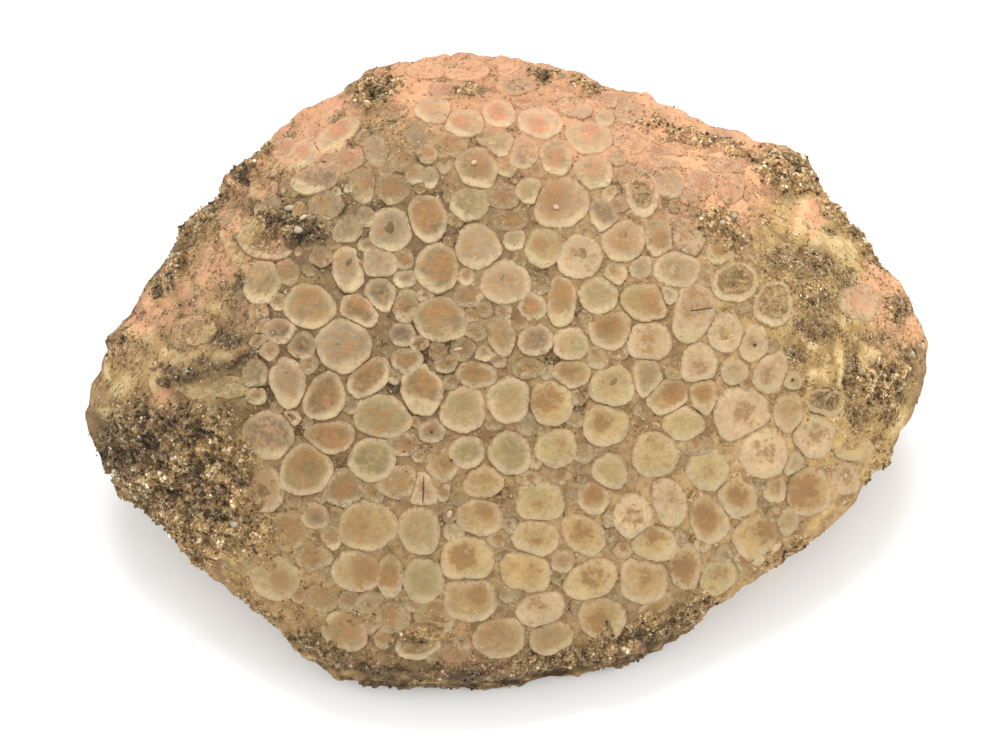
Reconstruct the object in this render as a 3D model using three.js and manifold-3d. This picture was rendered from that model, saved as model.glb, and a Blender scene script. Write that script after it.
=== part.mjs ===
// Fossil fish tooth plate: a lens-shaped block of jaw bone, paved on its upper side with low round
// crushing teeth and partly coated with cemented sand. It lies on its flat base. Millimetres, +Z up,
// +X along the plate, the worn tooth face leaning towards the front (-Y).
import * as THREE from "three";
import Module from "manifold-3d";
import { mergeVertices } from "three/addons/utils/BufferGeometryUtils.js";

// Driving dimensions.
const crownHeight = 21.6; // the top of the tooth face above the base
const rimHeight = 9.8; // the face's rim above the base, on average
const rimTilt = 5.6; // the rim is this much higher at the back and lower at the front
const tipLift = 0.6; // and a little higher again at the two ends
const rimWave = { height: 0.3, count: 3, start: 0.8 }; // slow waves of the rim up and down
const faceLean = THREE.MathUtils.degToRad(24); // the tooth chart's plane leans this far to the front
const chartTop = new THREE.Vector2(0, 9); // the highest point of the face on the chart
const frontShift = 3.77; // brings the plate's box over the origin

// How the face falls away from its top: 2 is a parabola, more is flatter near the top.
const fullness = 2.4;
const fullnessToBack = 0.6;
const fullnessToTips = 0.3;

// Gentle unevenness of the bone: broad swells and slanting ripples, which fade towards the rim.
const swell = { height: 0.22, across: 0.31, acrossStart: 1.3, up: 0.27, upStart: -0.6 };
const slantRipple = { height: 0.12, across: 0.83, up: -0.7 };
const fadePower = 6;

// The broken side wall under the rim, and the belly and flat base under it.
const wallHeight = 3.2;
const wallRipple = { depth: 0.4, count: 7, slant: 1.7 };
const flankUndercut = 0.62; // how far the wall runs inwards for each millimetre down
const frontUndercut = 0.1; // and where it stands almost upright, in the middle of the front
const frontStretch = [0.8, 0.93]; // where the front begins and is full, from 0 at the tips to 1 at the front
const baseMiddle = new THREE.Vector2(0, -5.4); // the flat base is centred here
const baseReach = 0.62; // the base's reach as a share of the rim's
const baseReachFront = 0.88;
const baseFrontStretch = [0.45, 0.98];

const segmentsRound = 48;
const faceRings = 8;
const wallRings = 2;
const bellyRings = 6;
const normalStep = 0.4;
const roundTurn = 2 * Math.PI;

const crownSides = 8;
const crownLift = 0.5; // a crown's worn top above the bone
const crownDish = 0.1; // wear hollow in the middle of a crown
const crownRoot = 0.9; // depth of a crown's sunk side
const shoulderDrop = 0.2; // the widest part of a crown or lump lies this far under the bone's surface
const flatShare = 0.74; // the worn top's share of a crown's width
// A sand lump's shoulder, as shares of its width and thickness, and its ridge and middle.
const lumpShoulder = { share: 0.75, rise: 0.65 };
const lumpRidge = 0.4;
const lumpMiddle = 0.9;
const weldDistance = 1e-4;

// The edge of the tooth face on the chart, from the left tip along the back to the right tip
// and round the front.
const faceEdge = [
  [-31.2, -3], [-30.5, -1], [-29.7, 1], [-28.9, 3], [-27.3, 5.1], [-25.6, 8], [-24.4, 9.8], [-23.7, 11],
  [-21.6, 12.6],
  [-19.8, 14.9], [-17.7, 17], [-15, 19.2], [-12.3, 20.6], [-10.3, 22.2], [-7, 22.9], [-3.3, 23.4],
  [1.2, 23.1],
  [4.3, 22.2], [8.1, 20.9], [12.1, 19.5], [14.7, 18.4], [18, 17.3], [21.6, 16.1], [22.8, 14.6], [23.2, 13.1],
  [24.7, 11.6], [26.2, 9.8], [27.1, 8.4], [28.4, 7.4], [29.9, 5], [30.8, 2.8], [31, 0.5], [30.6, -1.5],
  [29.6, -3.6], [28.3, -5.7], [26.7, -7.8], [25.1, -10.3], [22.9, -12.2], [20.6, -13.8], [17.9, -15.7],
  [14.8, -17.3], [12.3, -18.5], [10.2, -19.7], [7.7, -20.4], [5, -21], [2, -21.6], [-1.5, -22.2], [-5, -22.3],
  [-9, -22], [-12.1, -21.3], [-14.9, -19.9], [-17.6, -18.2], [-20.4, -16.2], [-22, -15], [-23.4, -13.4],
  [-25.2, -11.5], [-26.7, -9.9], [-28.2, -9.1], [-29.3, -7.8], [-30.2, -5.6],
];

// The larger crowns on the chart: [across, up, length, width, turn in degrees].
const crownChart = {
  backMargin: [
    [-6, 22.2, 2.8, 1.3, 0], [-3, 22.2, 3.4, 1.6, 0], [0.8, 21.2, 3.2, 1.8, 0], [-4.4, 20.7, 2.6, 1.4, 5],
    [5, 19.4, 2.6, 1.5, -10], [11.2, 18.9, 2.6, 1.2, -25], [-12.3, 17.4, 3.8, 1.4, 35],
    [-14.9, 16, 2.6, 1.9, 35], [-5.4, 19.2, 2.8, 2, 0], [-3.1, 18.2, 3, 2.1, -5], [2.4, 18.2, 3.4, 2.3, -5],
    [6, 17.1, 3.4, 2.6, -10], [11.4, 15.9, 3, 1.9, -10], [16.3, 15.1, 3.2, 1.4, -10],
  ],
  upperFace: [
    [-13.9, 14.1, 3.7, 2, 18], [-2.2, 14.9, 3.4, 2.9, -20], [-5.8, 11.2, 3.4, 2.9, 105],
    [4, 12.3, 4.2, 3.6, 20], [9.9, 13, 3.3, 2.5, 90], [13.3, 9.9, 3, 2.6, 80], [-8.5, 10.3, 3.4, 3.1, 90],
    [-2.1, 9.1, 3.5, 3.2, 90], [2.7, 9, 3, 2.8, 0], [5.3, 8.3, 3.3, 3.3, 0], [8.5, 9.5, 3.3, 3.1, 80],
    [12.4, 7.5, 3.6, 2.8, 10],
  ],
  middleLeft: [
    [-11.6, 7.5, 3.5, 2.1, 101], [-5.1, 7.5, 3.8, 3.1, 100], [-0.1, 6.5, 3.6, 3.3, 20],
    [-14.4, 4.7, 3.8, 3.3, -15], [-11.9, 1.9, 4.1, 4, 0], [-4.9, 3.8, 3.9, 3.4, 0],
    [-2.3, -0.3, 3.3, 1.9, -5],
    [-10.1, -0.5, 3.7, 2.5, 42], [-13.3, -1.9, 3.6, 3, 72], [-16, -0.7, 3.7, 2.7, 112],
    [-6.2, -1.4, 3.8, 3.1, 115], [-3.2, -2.8, 3.4, 3.4, 0], [0.1, -2.1, 3.4, 3.2, 90],
    [-9.1, -3.3, 4.1, 3.3, -12], [-12.9, -4.8, 3.8, 2.5, 0], [-17.4, -4.7, 3.8, 3.5, 0],
  ],
  middleRight: [
    [4, 5.1, 4, 2.1, 91], [6.7, 5.5, 2.9, 2.8, 0], [10, 5, 3.6, 2.8, -25], [13.6, 4.3, 4.4, 3.2, 78],
    [16.7, 6.5, 3.5, 2.9, 0], [19.5, 4.9, 3.3, 2.9, 90], [7.6, 3, 3.6, 2.7, 15], [10.3, 2.1, 3.5, 3, 0],
    [7.7, -1.1, 3.4, 3.1, 0], [3.4, -2.3, 3.6, 3.3, -20], [11.7, -1.9, 3.1, 2.7, 30],
    [14, 0.5, 3.1, 2.7, 90],
    [16, 2.8, 3, 2.7, 90], [19.3, -0.1, 3.3, 2.3, 62], [12.8, -3.8, 3, 2.6, 0], [17.1, -3, 4.3, 3.5, 15],
    [26, 5, 3.4, 2.7, 0],
  ],
  lowerLeft: [
    [-9.8, -6.4, 3.4, 3.3, 0], [0.2, -6, 3.2, 3.1, 90], [-14.7, -7.2, 3.9, 3.7, 0],
    [-11.9, -8.5, 2.9, 2.8, 0],
    [-17.8, -8.7, 3.5, 3.1, 90], [-10.2, -11.3, 4.2, 3.8, 15], [-6.4, -11.6, 3.5, 3.1, 90],
    [-2, -10.6, 3.5, 2.7, -15], [-15.9, -11.7, 3.2, 3, 0], [-11, -14.6, 3.5, 3.1, 0],
    [-8.5, -15, 3.4, 1.9, 90],
    [-6.1, -15.3, 3.1, 3.1, 0], [-2.9, -13.7, 3.9, 3, -8], [-2.7, -16.7, 3.9, 2.9, 0],
    [-16.9, -15.2, 3.7, 3.1, 10], [-11.9, -19.1, 3.6, 2.7, -22], [-5.3, -17.9, 3.1, 2.6, 0],
    [-6.6, -20.1, 3.2, 2.3, 5], [-4.2, -20.8, 3.4, 1.6, 5], [-0.5, -19.5, 3.8, 3, 5],
  ],
  lowerRight: [
    [3.6, -5.6, 3, 2.9, 0], [7.2, -3.9, 3.5, 3, 0], [10.8, -6.1, 3.4, 3.3, 90], [14.7, -7.2, 3.2, 3.1, 0],
    [18.8, -6, 3.8, 3.6, 90], [22.6, -4.7, 3.3, 3, 80], [2.4, -9.5, 3.3, 2.8, 0],
    [9.2, -10.6, 3.3, 2.8, 80],
    [11.9, -9.6, 3.5, 2.5, 112], [14.8, -10.8, 3.5, 2.9, 115], [16.9, -9.2, 3.2, 2.9, 0],
    [22.1, -8.8, 3.7, 3.3, 70], [2.1, -12.2, 3.6, 2.6, 0], [5.6, -11.9, 3.5, 2.7, -25],
    [10.8, -12.6, 3.3, 2.7, 0], [18.2, -12, 3.6, 3.2, 30], [1.4, -14.6, 3.8, 2.7, -5],
    [6.1, -15.2, 4.2, 2.9, 25], [10, -15.3, 3.5, 3.1, 0], [13.1, -14.3, 3.5, 2.5, 90],
    [15.5, -15, 3.2, 2.4, 30], [2.5, -17.4, 3.5, 2.6, 15], [7, -18.1, 3.6, 3.1, 0],
    [3.2, -19.5, 3.4, 2.4, 10],
  ],
  leftFlank: [
    [-17.9, 6.5, 3.2, 2.7, 80], [-18.6, 9.6, 3.5, 2.1, -20],
  ],
};

// Lumps of cemented sand on the face and the wall: [across, up, length, width, turn, thickness].
const sandLumps = [
  [-26.4, -6.4, 6.6, 6, -50, 1], [-22.6, -9.4, 7.2, 5, -35, 0.9], [-24.5, -3.8, 6, 3, 10, 0.8],
  [-21.6, 11.8, 5.2, 2.2, 45, 0.8], [-15.4, 10.8, 3.8, 1.5, -15, 0.7], [-9.2, 20.2, 3.8, 2, 20, 0.7],
  [20.2, 14, 4.4, 2.6, -15, 0.8], [24.2, 10.6, 4.4, 1.5, -50, 0.7], [27.4, -0.4, 3.2, 2.8, 0, 0.8],
  [10.4, -17.9, 5.4, 1.7, 26, 1],
];

const wasm = await Module();
wasm.setup();

// The face edge's distance from the chart's top point, for any direction.
const edgeCurve = new THREE.CatmullRomCurve3(
  faceEdge.map(([across, up]) => new THREE.Vector3(across, up, 0)),
  true,
);
const samplesPerPoint = 12;
const edgeSamples = edgeCurve
  .getPoints(faceEdge.length * samplesPerPoint)
  .map((p) => new THREE.Vector2(p.x, p.y).sub(chartTop))
  .map((p) => ({ direction: p.angle(), reach: p.length() }))
  .sort((a, b) => a.direction - b.direction);

function edgeReach(direction) {
  const turn = THREE.MathUtils.euclideanModulo(direction, roundTurn);
  const next = edgeSamples.findIndex((sample) => sample.direction >= turn);
  const after = edgeSamples[Math.max(next, 0)];
  const before = edgeSamples[(next < 1 ? edgeSamples.length : next) - 1];
  const gap = THREE.MathUtils.euclideanModulo(after.direction - before.direction, roundTurn);
  const passed = THREE.MathUtils.euclideanModulo(turn - before.direction, roundTurn);
  return THREE.MathUtils.lerp(before.reach, after.reach, gap > 0 ? passed / gap : 0);
}

function unevenness(x, y, share) {
  const acrossSwell = Math.sin(swell.across * x + swell.acrossStart);
  const broad = swell.height * acrossSwell * Math.cos(swell.up * y + swell.upStart);
  const slanting = slantRipple.height * Math.sin(slantRipple.across * x + slantRipple.up * y);
  return (broad + slanting) * (1 - share ** fadePower);
}

function rimLevel(direction) {
  return (
    rimHeight +
    rimTilt * Math.sin(direction) +
    tipLift * Math.cos(direction) ** 2 +
    rimWave.height * Math.sin(rimWave.count * direction + rimWave.start)
  );
}

function fallPower(direction) {
  return fullness + fullnessToBack * Math.sin(direction) + fullnessToTips * Math.cos(direction) ** 2;
}

// The point of the bone face that a chart point stands for.
function facePoint(across, up) {
  const fromTop = new THREE.Vector2(across, up).sub(chartTop);
  const direction = fromTop.angle();
  const share = Math.min(1, fromTop.length() / edgeReach(direction));
  const fall = (crownHeight - rimLevel(direction)) * share ** fallPower(direction);
  const height = crownHeight - fall + unevenness(across, up, share);
  const back = (up - height * Math.sin(faceLean)) / Math.cos(faceLean) + frontShift;
  return new THREE.Vector3(across, back, height);
}

// The point of the face's rim in a direction from the chart's top point, or nearer that point.
function facePointAlong(direction, share) {
  const reach = edgeReach(direction) * share;
  return facePoint(chartTop.x + reach * Math.cos(direction), chartTop.y + reach * Math.sin(direction));
}

function faceNormal(across, up) {
  const alongX = facePoint(across + normalStep, up).sub(facePoint(across - normalStep, up));
  const alongY = facePoint(across, up + normalStep).sub(facePoint(across, up - normalStep));
  return alongX.cross(alongY).normalize();
}

// A value that differs between the front and the rest of the plate, with a smooth change over a stretch.
function towardsFront(direction, elsewhere, atFront, stretch) {
  return THREE.MathUtils.lerp(
    elsewhere,
    atFront,
    THREE.MathUtils.smoothstep(-Math.sin(direction), stretch[0], stretch[1]),
  );
}

// A point of the wall, belly or base: ring 0 is the rim and the last ring is the base's middle.
function bellyPoint(direction, ring) {
  const rim = facePointAlong(direction, 1);
  const outward = new THREE.Vector2(rim.x, rim.y).sub(baseMiddle);
  const wallShare = Math.min(ring / wallRings, 1);
  const underShare = THREE.MathUtils.clamp((ring - wallRings) / (bellyRings - 1 - wallRings), 0, 1);
  const turnUnder = (underShare * Math.PI) / 2;
  const undercut = towardsFront(direction, flankUndercut, frontUndercut, frontStretch);
  const wallReach = outward.length() - undercut * wallHeight * wallShare;
  const underReach = outward.length() * towardsFront(direction, baseReach, baseReachFront, baseFrontStretch);
  const reach = THREE.MathUtils.lerp(wallReach, underReach, 1 - Math.cos(turnUnder));
  const height = (rim.z - wallHeight * wallShare) * (1 - Math.sin(turnUnder));
  const wave = Math.sin(wallRipple.count * direction + wallRipple.slant * ring);
  const ripple = underShare < 1 ? wallRipple.depth * wallShare * wave : 0;
  outward.setLength(ring === bellyRings ? 0 : reach + ripple);
  return new THREE.Vector3(baseMiddle.x + outward.x, baseMiddle.y + outward.y, height);
}

function solidFrom(geometry) {
  geometry.deleteAttribute("normal");
  geometry.deleteAttribute("uv");
  const merged = mergeVertices(geometry, weldDistance);
  return new wasm.Manifold(
    new wasm.Mesh({
      numProp: 3,
      vertProperties: merged.attributes.position.array,
      triVerts: new Uint32Array(merged.index.array),
    }),
  );
}

// The bone block: a sphere whose upper half becomes the face and whose lower half the wall and belly.
function makeBone() {
  const geometry = new THREE.SphereGeometry(1, segmentsRound, faceRings + bellyRings);
  geometry.rotateX(Math.PI / 2);
  const place = geometry.attributes.position;
  const ringOf = geometry.attributes.uv;
  for (let i = 0; i < place.count; i++) {
    const ring = Math.round((1 - ringOf.getY(i)) * (faceRings + bellyRings));
    const direction = Math.atan2(place.getY(i), place.getX(i));
    const moved =
      ring <= faceRings
        ? facePointAlong(direction, ring / faceRings)
        : bellyPoint(direction, ring - faceRings);
    place.setXYZ(i, moved.x, moved.y, moved.z);
  }
  return solidFrom(geometry);
}

// A low round button, draped over the face: its outline is an ellipse on the chart.
function makeButton([across, up, length, width, turn], profile, sides) {
  const geometry = new THREE.LatheGeometry(profile, sides);
  const normal = faceNormal(across, up);
  const angle = THREE.MathUtils.degToRad(turn);
  const place = geometry.attributes.position;
  for (let i = 0; i < place.count; i++) {
    const on = new THREE.Vector3().fromBufferAttribute(place, i);
    const offset = new THREE.Vector2((on.x * length) / 2, (-on.z * width) / 2);
    offset.rotateAround(new THREE.Vector2(), angle);
    const moved = facePoint(across + offset.x, up + offset.y).addScaledVector(normal, on.y);
    place.setXYZ(i, moved.x, moved.y, moved.z);
  }
  return solidFrom(geometry);
}

const crownProfile = [
  new THREE.Vector2(0, -crownRoot),
  new THREE.Vector2(1, -shoulderDrop),
  new THREE.Vector2(flatShare, crownLift),
  new THREE.Vector2(0, crownLift - crownDish),
];

function lumpProfile(thickness) {
  return [
    new THREE.Vector2(0, -crownRoot),
    new THREE.Vector2(1, -shoulderDrop),
    new THREE.Vector2(lumpShoulder.share, thickness * lumpShoulder.rise),
    new THREE.Vector2(lumpRidge, thickness),
    new THREE.Vector2(0, thickness * lumpMiddle),
  ];
}

function geometryOf(solid) {
  const mesh = solid.getMesh();
  return new THREE.BufferGeometry()
    .setAttribute("position", new THREE.BufferAttribute(mesh.vertProperties, 3))
    .setIndex(new THREE.BufferAttribute(mesh.triVerts, 1))
    .toNonIndexed();
}

const crowns = Object.values(crownChart).flatMap((region) =>
  region.map((crown) => makeButton(crown, crownProfile, crownSides)),
);
const lumps = sandLumps.map((lump) => makeButton(lump, lumpProfile(lump[5]), crownSides));
const plateSolid = [...crowns, ...lumps].reduce((joined, piece) => joined.add(piece), makeBone());

const plateGeometry = geometryOf(plateSolid);
plateGeometry.computeVertexNormals();

const toothPlate = new THREE.Mesh(
  plateGeometry,
  new THREE.MeshStandardMaterial({ color: 0xb79a6c, roughness: 0.62, metalness: 0 }),
);
toothPlate.name = "tooth_plate";

const fossil = new THREE.Group();
fossil.add(toothPlate);

export default fossil;
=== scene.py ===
import math
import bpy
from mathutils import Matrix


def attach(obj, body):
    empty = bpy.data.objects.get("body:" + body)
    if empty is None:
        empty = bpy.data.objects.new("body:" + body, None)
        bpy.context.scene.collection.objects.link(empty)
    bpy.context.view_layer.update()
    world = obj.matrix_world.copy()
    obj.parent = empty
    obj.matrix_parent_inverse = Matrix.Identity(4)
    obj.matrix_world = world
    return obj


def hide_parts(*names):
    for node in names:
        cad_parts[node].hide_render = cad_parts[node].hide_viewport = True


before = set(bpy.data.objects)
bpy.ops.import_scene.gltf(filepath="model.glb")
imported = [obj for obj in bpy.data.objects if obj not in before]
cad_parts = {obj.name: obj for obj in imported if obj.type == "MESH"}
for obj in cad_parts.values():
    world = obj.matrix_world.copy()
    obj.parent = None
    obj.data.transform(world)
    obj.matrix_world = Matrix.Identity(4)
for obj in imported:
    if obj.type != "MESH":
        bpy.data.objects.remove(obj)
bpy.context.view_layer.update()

from types import SimpleNamespace

import bmesh
import bpy
import numpy as np
from mathutils import Vector, noise
from mathutils.bvhtree import BVHTree

mm = 0.001

# The block of bone, in millimetres. Across and up are places on the tooth chart, which is drawn on a plane
# that leans to the front, so that a chart point and the shape of the face together give a place in space.
plate = {
    "crownHeight": 21.6,
    "rimHeight": 9.8,
    "rimTilt": 5.6,
    "tipLift": 0.6,
    # height, waves around the rim, start
    "rimWave": (0.3, 3, 0.8),
    # how full the dome is, and what the back and the tips add
    "fullness": (2.4, 0.6, 0.3),
    # height, how fast they come across and up, and where the swells start
    "swells": (0.22, 0.31, 0.27, 1.3, -0.6),
    "ripples": (0.12, 0.83, -0.7),
    "swellFade": 6,
    "normalStep": 0.4,
    "wallHeight": 3.2,
    # depth, waves around the wall, start, twist towards the base
    "wallRipple": (0.4, 7, 3.4, 5),
    # elsewhere, at the front, and where the front begins and is reached
    "undercut": (0.62, 0.1, (0.8, 0.93)),
    "baseReach": (0.62, 0.88, (0.45, 0.98)),
    "faceLean": math.radians(24),
    "top": (0, 9),
    "baseMiddle": (0, -5.4),
    "frontShift": 3.77,
    "overRimSlope": 1.6,
    "columns": 470,
    # of the face, the wall, the belly and the base
    "rows": (132, 20, 40, 8),
    "rowSpread": 0.85,
    # painted light, paler towards the right and the front: in the middle, what each millimetre across and
    # up adds, and how far up that goes on
    "paler": (0.975, 0.007, -0.011, 10),
    # across, up, radius, how much paler; the darker ones along the front lip are painted shade
    "paintedLightAndTonePatches": [
        [19.5, 12, 6, 0.22], [14, 17.5, 4, 0.04], [9, 18.5, 3.4, 0.04], [-7.5, 18.5, 4.2, 0.38],
        [19.5, -7.5, 6, 0.26], [10, -10, 4, 0.2], [25.5, -2, 3, 0.1], [-22, -13.5, 3.5, 0.3],
        [-21.5, -6, 3, 0.16], [-17, 2.5, 6, -0.27], [-8, 12.5, 5.5, -0.2], [-5, 6, 7, -0.16],
        [-7, -1.5, 6, -0.18], [-22, -2, 3, -0.22], [-21, 10, 4, 0.08], [-23, 4, 4, 0.02],
        [-2, 21, 6, -0.16], [-13, -8, 6, -0.16], [6, 10, 6, -0.04], [2, -2, 4, 0.06],
        [-14, -18.5, 4, -0.28], [-9, -22.6, 4, -0.6], [-2, -22.9, 3.8, -0.65], [5, -22.6, 3.6, -0.65],
        [12, -19.8, 2.6, -0.45], [4, -15, 6, 0.1], [30.5, -2, 3, -0.14], [-27, -1.5, 3.5, 0.16],
    ],
    "edge": [
        (-31.2, -3), (-30.5, -1), (-29.7, 1), (-28.9, 3), (-27.3, 5.1), (-25.6, 8), (-24.4, 9.8),
        (-23.7, 11), (-21.6, 12.6), (-19.8, 14.9), (-17.7, 17), (-15, 19.2), (-12.3, 20.6), (-10.3, 22.2),
        (-7, 22.9), (-3.3, 23.4), (1.2, 23.1), (4.3, 22.2), (8.1, 20.9), (12.1, 19.5), (14.7, 18.4),
        (18, 17.3), (21.6, 16.1), (22.8, 14.6), (23.2, 13.1), (24.7, 11.6), (26.2, 9.8), (27.1, 8.4),
        (28.4, 7.4), (29.9, 5), (30.8, 2.8), (31, 0.5), (30.6, -1.5), (29.6, -3.6), (28.3, -5.7),
        (26.7, -7.8), (25.1, -10.3), (22.9, -12.2), (20.6, -13.8), (17.9, -15.7), (14.8, -17.3),
        (12.3, -18.5), (10.2, -19.7), (7.7, -20.4), (5, -21), (2, -21.6), (-1.5, -22.2), (-5, -22.3),
        (-9, -22), (-12.1, -21.3), (-14.9, -19.9), (-17.6, -18.2), (-20.4, -16.2), (-22, -15),
        (-23.4, -13.4), (-25.2, -11.5), (-26.7, -9.9), (-28.2, -9.1), (-29.3, -7.8), (-30.2, -5.6),
    ],
}

edgeFromTop = np.array(plate["edge"], float) - plate["top"]
edgeAngles = np.arctan2(edgeFromTop[:, 1], edgeFromTop[:, 0])
edgeReaches = np.hypot(edgeFromTop[:, 0], edgeFromTop[:, 1])


def edgeReach(direction):
    return np.interp(direction, edgeAngles, edgeReaches, period=2 * math.pi)


def rimLevel(direction):
    tilt = plate["rimTilt"] * np.sin(direction) + plate["tipLift"] * np.cos(direction) ** 2
    wave, waves, start = plate["rimWave"]
    return plate["rimHeight"] + tilt + wave * np.sin(waves * direction + start)


def depthOf(up, height):
    # how far back a chart point lies when it is at a height
    lean = plate["faceLean"]
    return (up - height * math.sin(lean)) / math.cos(lean) + plate["frontShift"]


def facePoint(across, up):
    # the bone face at a chart point, in millimetres; past the rim it turns down over the wall
    alongX, alongY = across - plate["top"][0], up - plate["top"][1]
    direction = np.arctan2(alongY, alongX)
    reach = edgeReach(direction)
    share = np.hypot(alongX, alongY) / reach
    inner = np.minimum(share, 1)
    full, toBack, toTips = plate["fullness"]
    power = full + toBack * np.sin(direction) + toTips * np.cos(direction) ** 2
    swell, swellAcross, swellUp, startAcross, startUp = plate["swells"]
    ripple, rippleAcross, rippleUp = plate["ripples"]
    uneven = swell * np.sin(swellAcross * across + startAcross) * np.cos(swellUp * up + startUp)
    uneven = uneven + ripple * np.sin(rippleAcross * across + rippleUp * up)
    height = plate["crownHeight"] - (plate["crownHeight"] - rimLevel(direction)) * inner ** power
    height = height + uneven * (1 - inner ** plate["swellFade"])
    height = height - np.maximum(share - 1, 0) * reach * plate["overRimSlope"]
    return np.stack([across + 0 * height, depthOf(up, height), height], -1)


def faceNormal(across, up):
    step = plate["normalStep"]
    alongX = facePoint(across + step, up) - facePoint(across - step, up)
    alongY = facePoint(across, up + step) - facePoint(across, up - step)
    normal = np.cross(alongX, alongY)
    return normal / np.linalg.norm(normal)


def ovalDistance(across, up, place):
    # 1 on the outline of an oval [across, up, length, width, turn], less inside it
    turn = math.radians(place[4])
    dx, dy = across - place[0], up - place[1]
    along = (dx * math.cos(turn) + dy * math.sin(turn)) / (place[2] / 2)
    beside = (dy * math.cos(turn) - dx * math.sin(turn)) / (place[3] / 2)
    return np.hypot(along, beside)


def smoothStep(low, high, value):
    share = np.clip((value - low) / (high - low), 0, 1)
    return share * share * (3 - 2 * share)


def softSpot(across, up, x, y, radius):
    return np.exp(-((across - x) ** 2 + (up - y) ** 2) / radius ** 2)


def between(ends, share):
    return ends[0] + (ends[1] - ends[0]) * share


def towardsFront(direction, elsewhere, atFront, stretch):
    # a value that differs between the front and the rest of the plate
    return between((elsewhere, atFront), smoothStep(*stretch, -np.sin(direction)))


def paintedLightAndTone(across, up):
    # painted light: the bone and the teeth are a little paler towards the right and the front, and paler or
    # darker in broad patches, which along the front lip are painted shade
    middle, perAcross, perUp, furthest = plate["paler"]
    pale = middle + perAcross * across + perUp * np.minimum(up, furthest)
    for x, y, radius, change in plate["paintedLightAndTonePatches"]:
        pale = pale + change * softSpot(across, up, x, y, radius)
    return pale


noiseKind = {"shift": (17.3, 5.1, 9.7), "fade": 0.9, "finer": 2.1, "basis": "PERLIN_ORIGINAL"}


def roughness(points, size, seed, detail):
    # soft natural unevenness from -1 to 1, with lumps of about the given size in millimetres
    shift = Vector([seed * far for far in noiseKind["shift"]])
    fade, finer, basis = noiseKind["fade"], noiseKind["finer"], noiseKind["basis"]
    return np.array([
        noise.fractal(Vector(point) / size + shift, fade, finer, detail, noise_basis=basis)
        for point in points.tolist()
    ])


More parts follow.
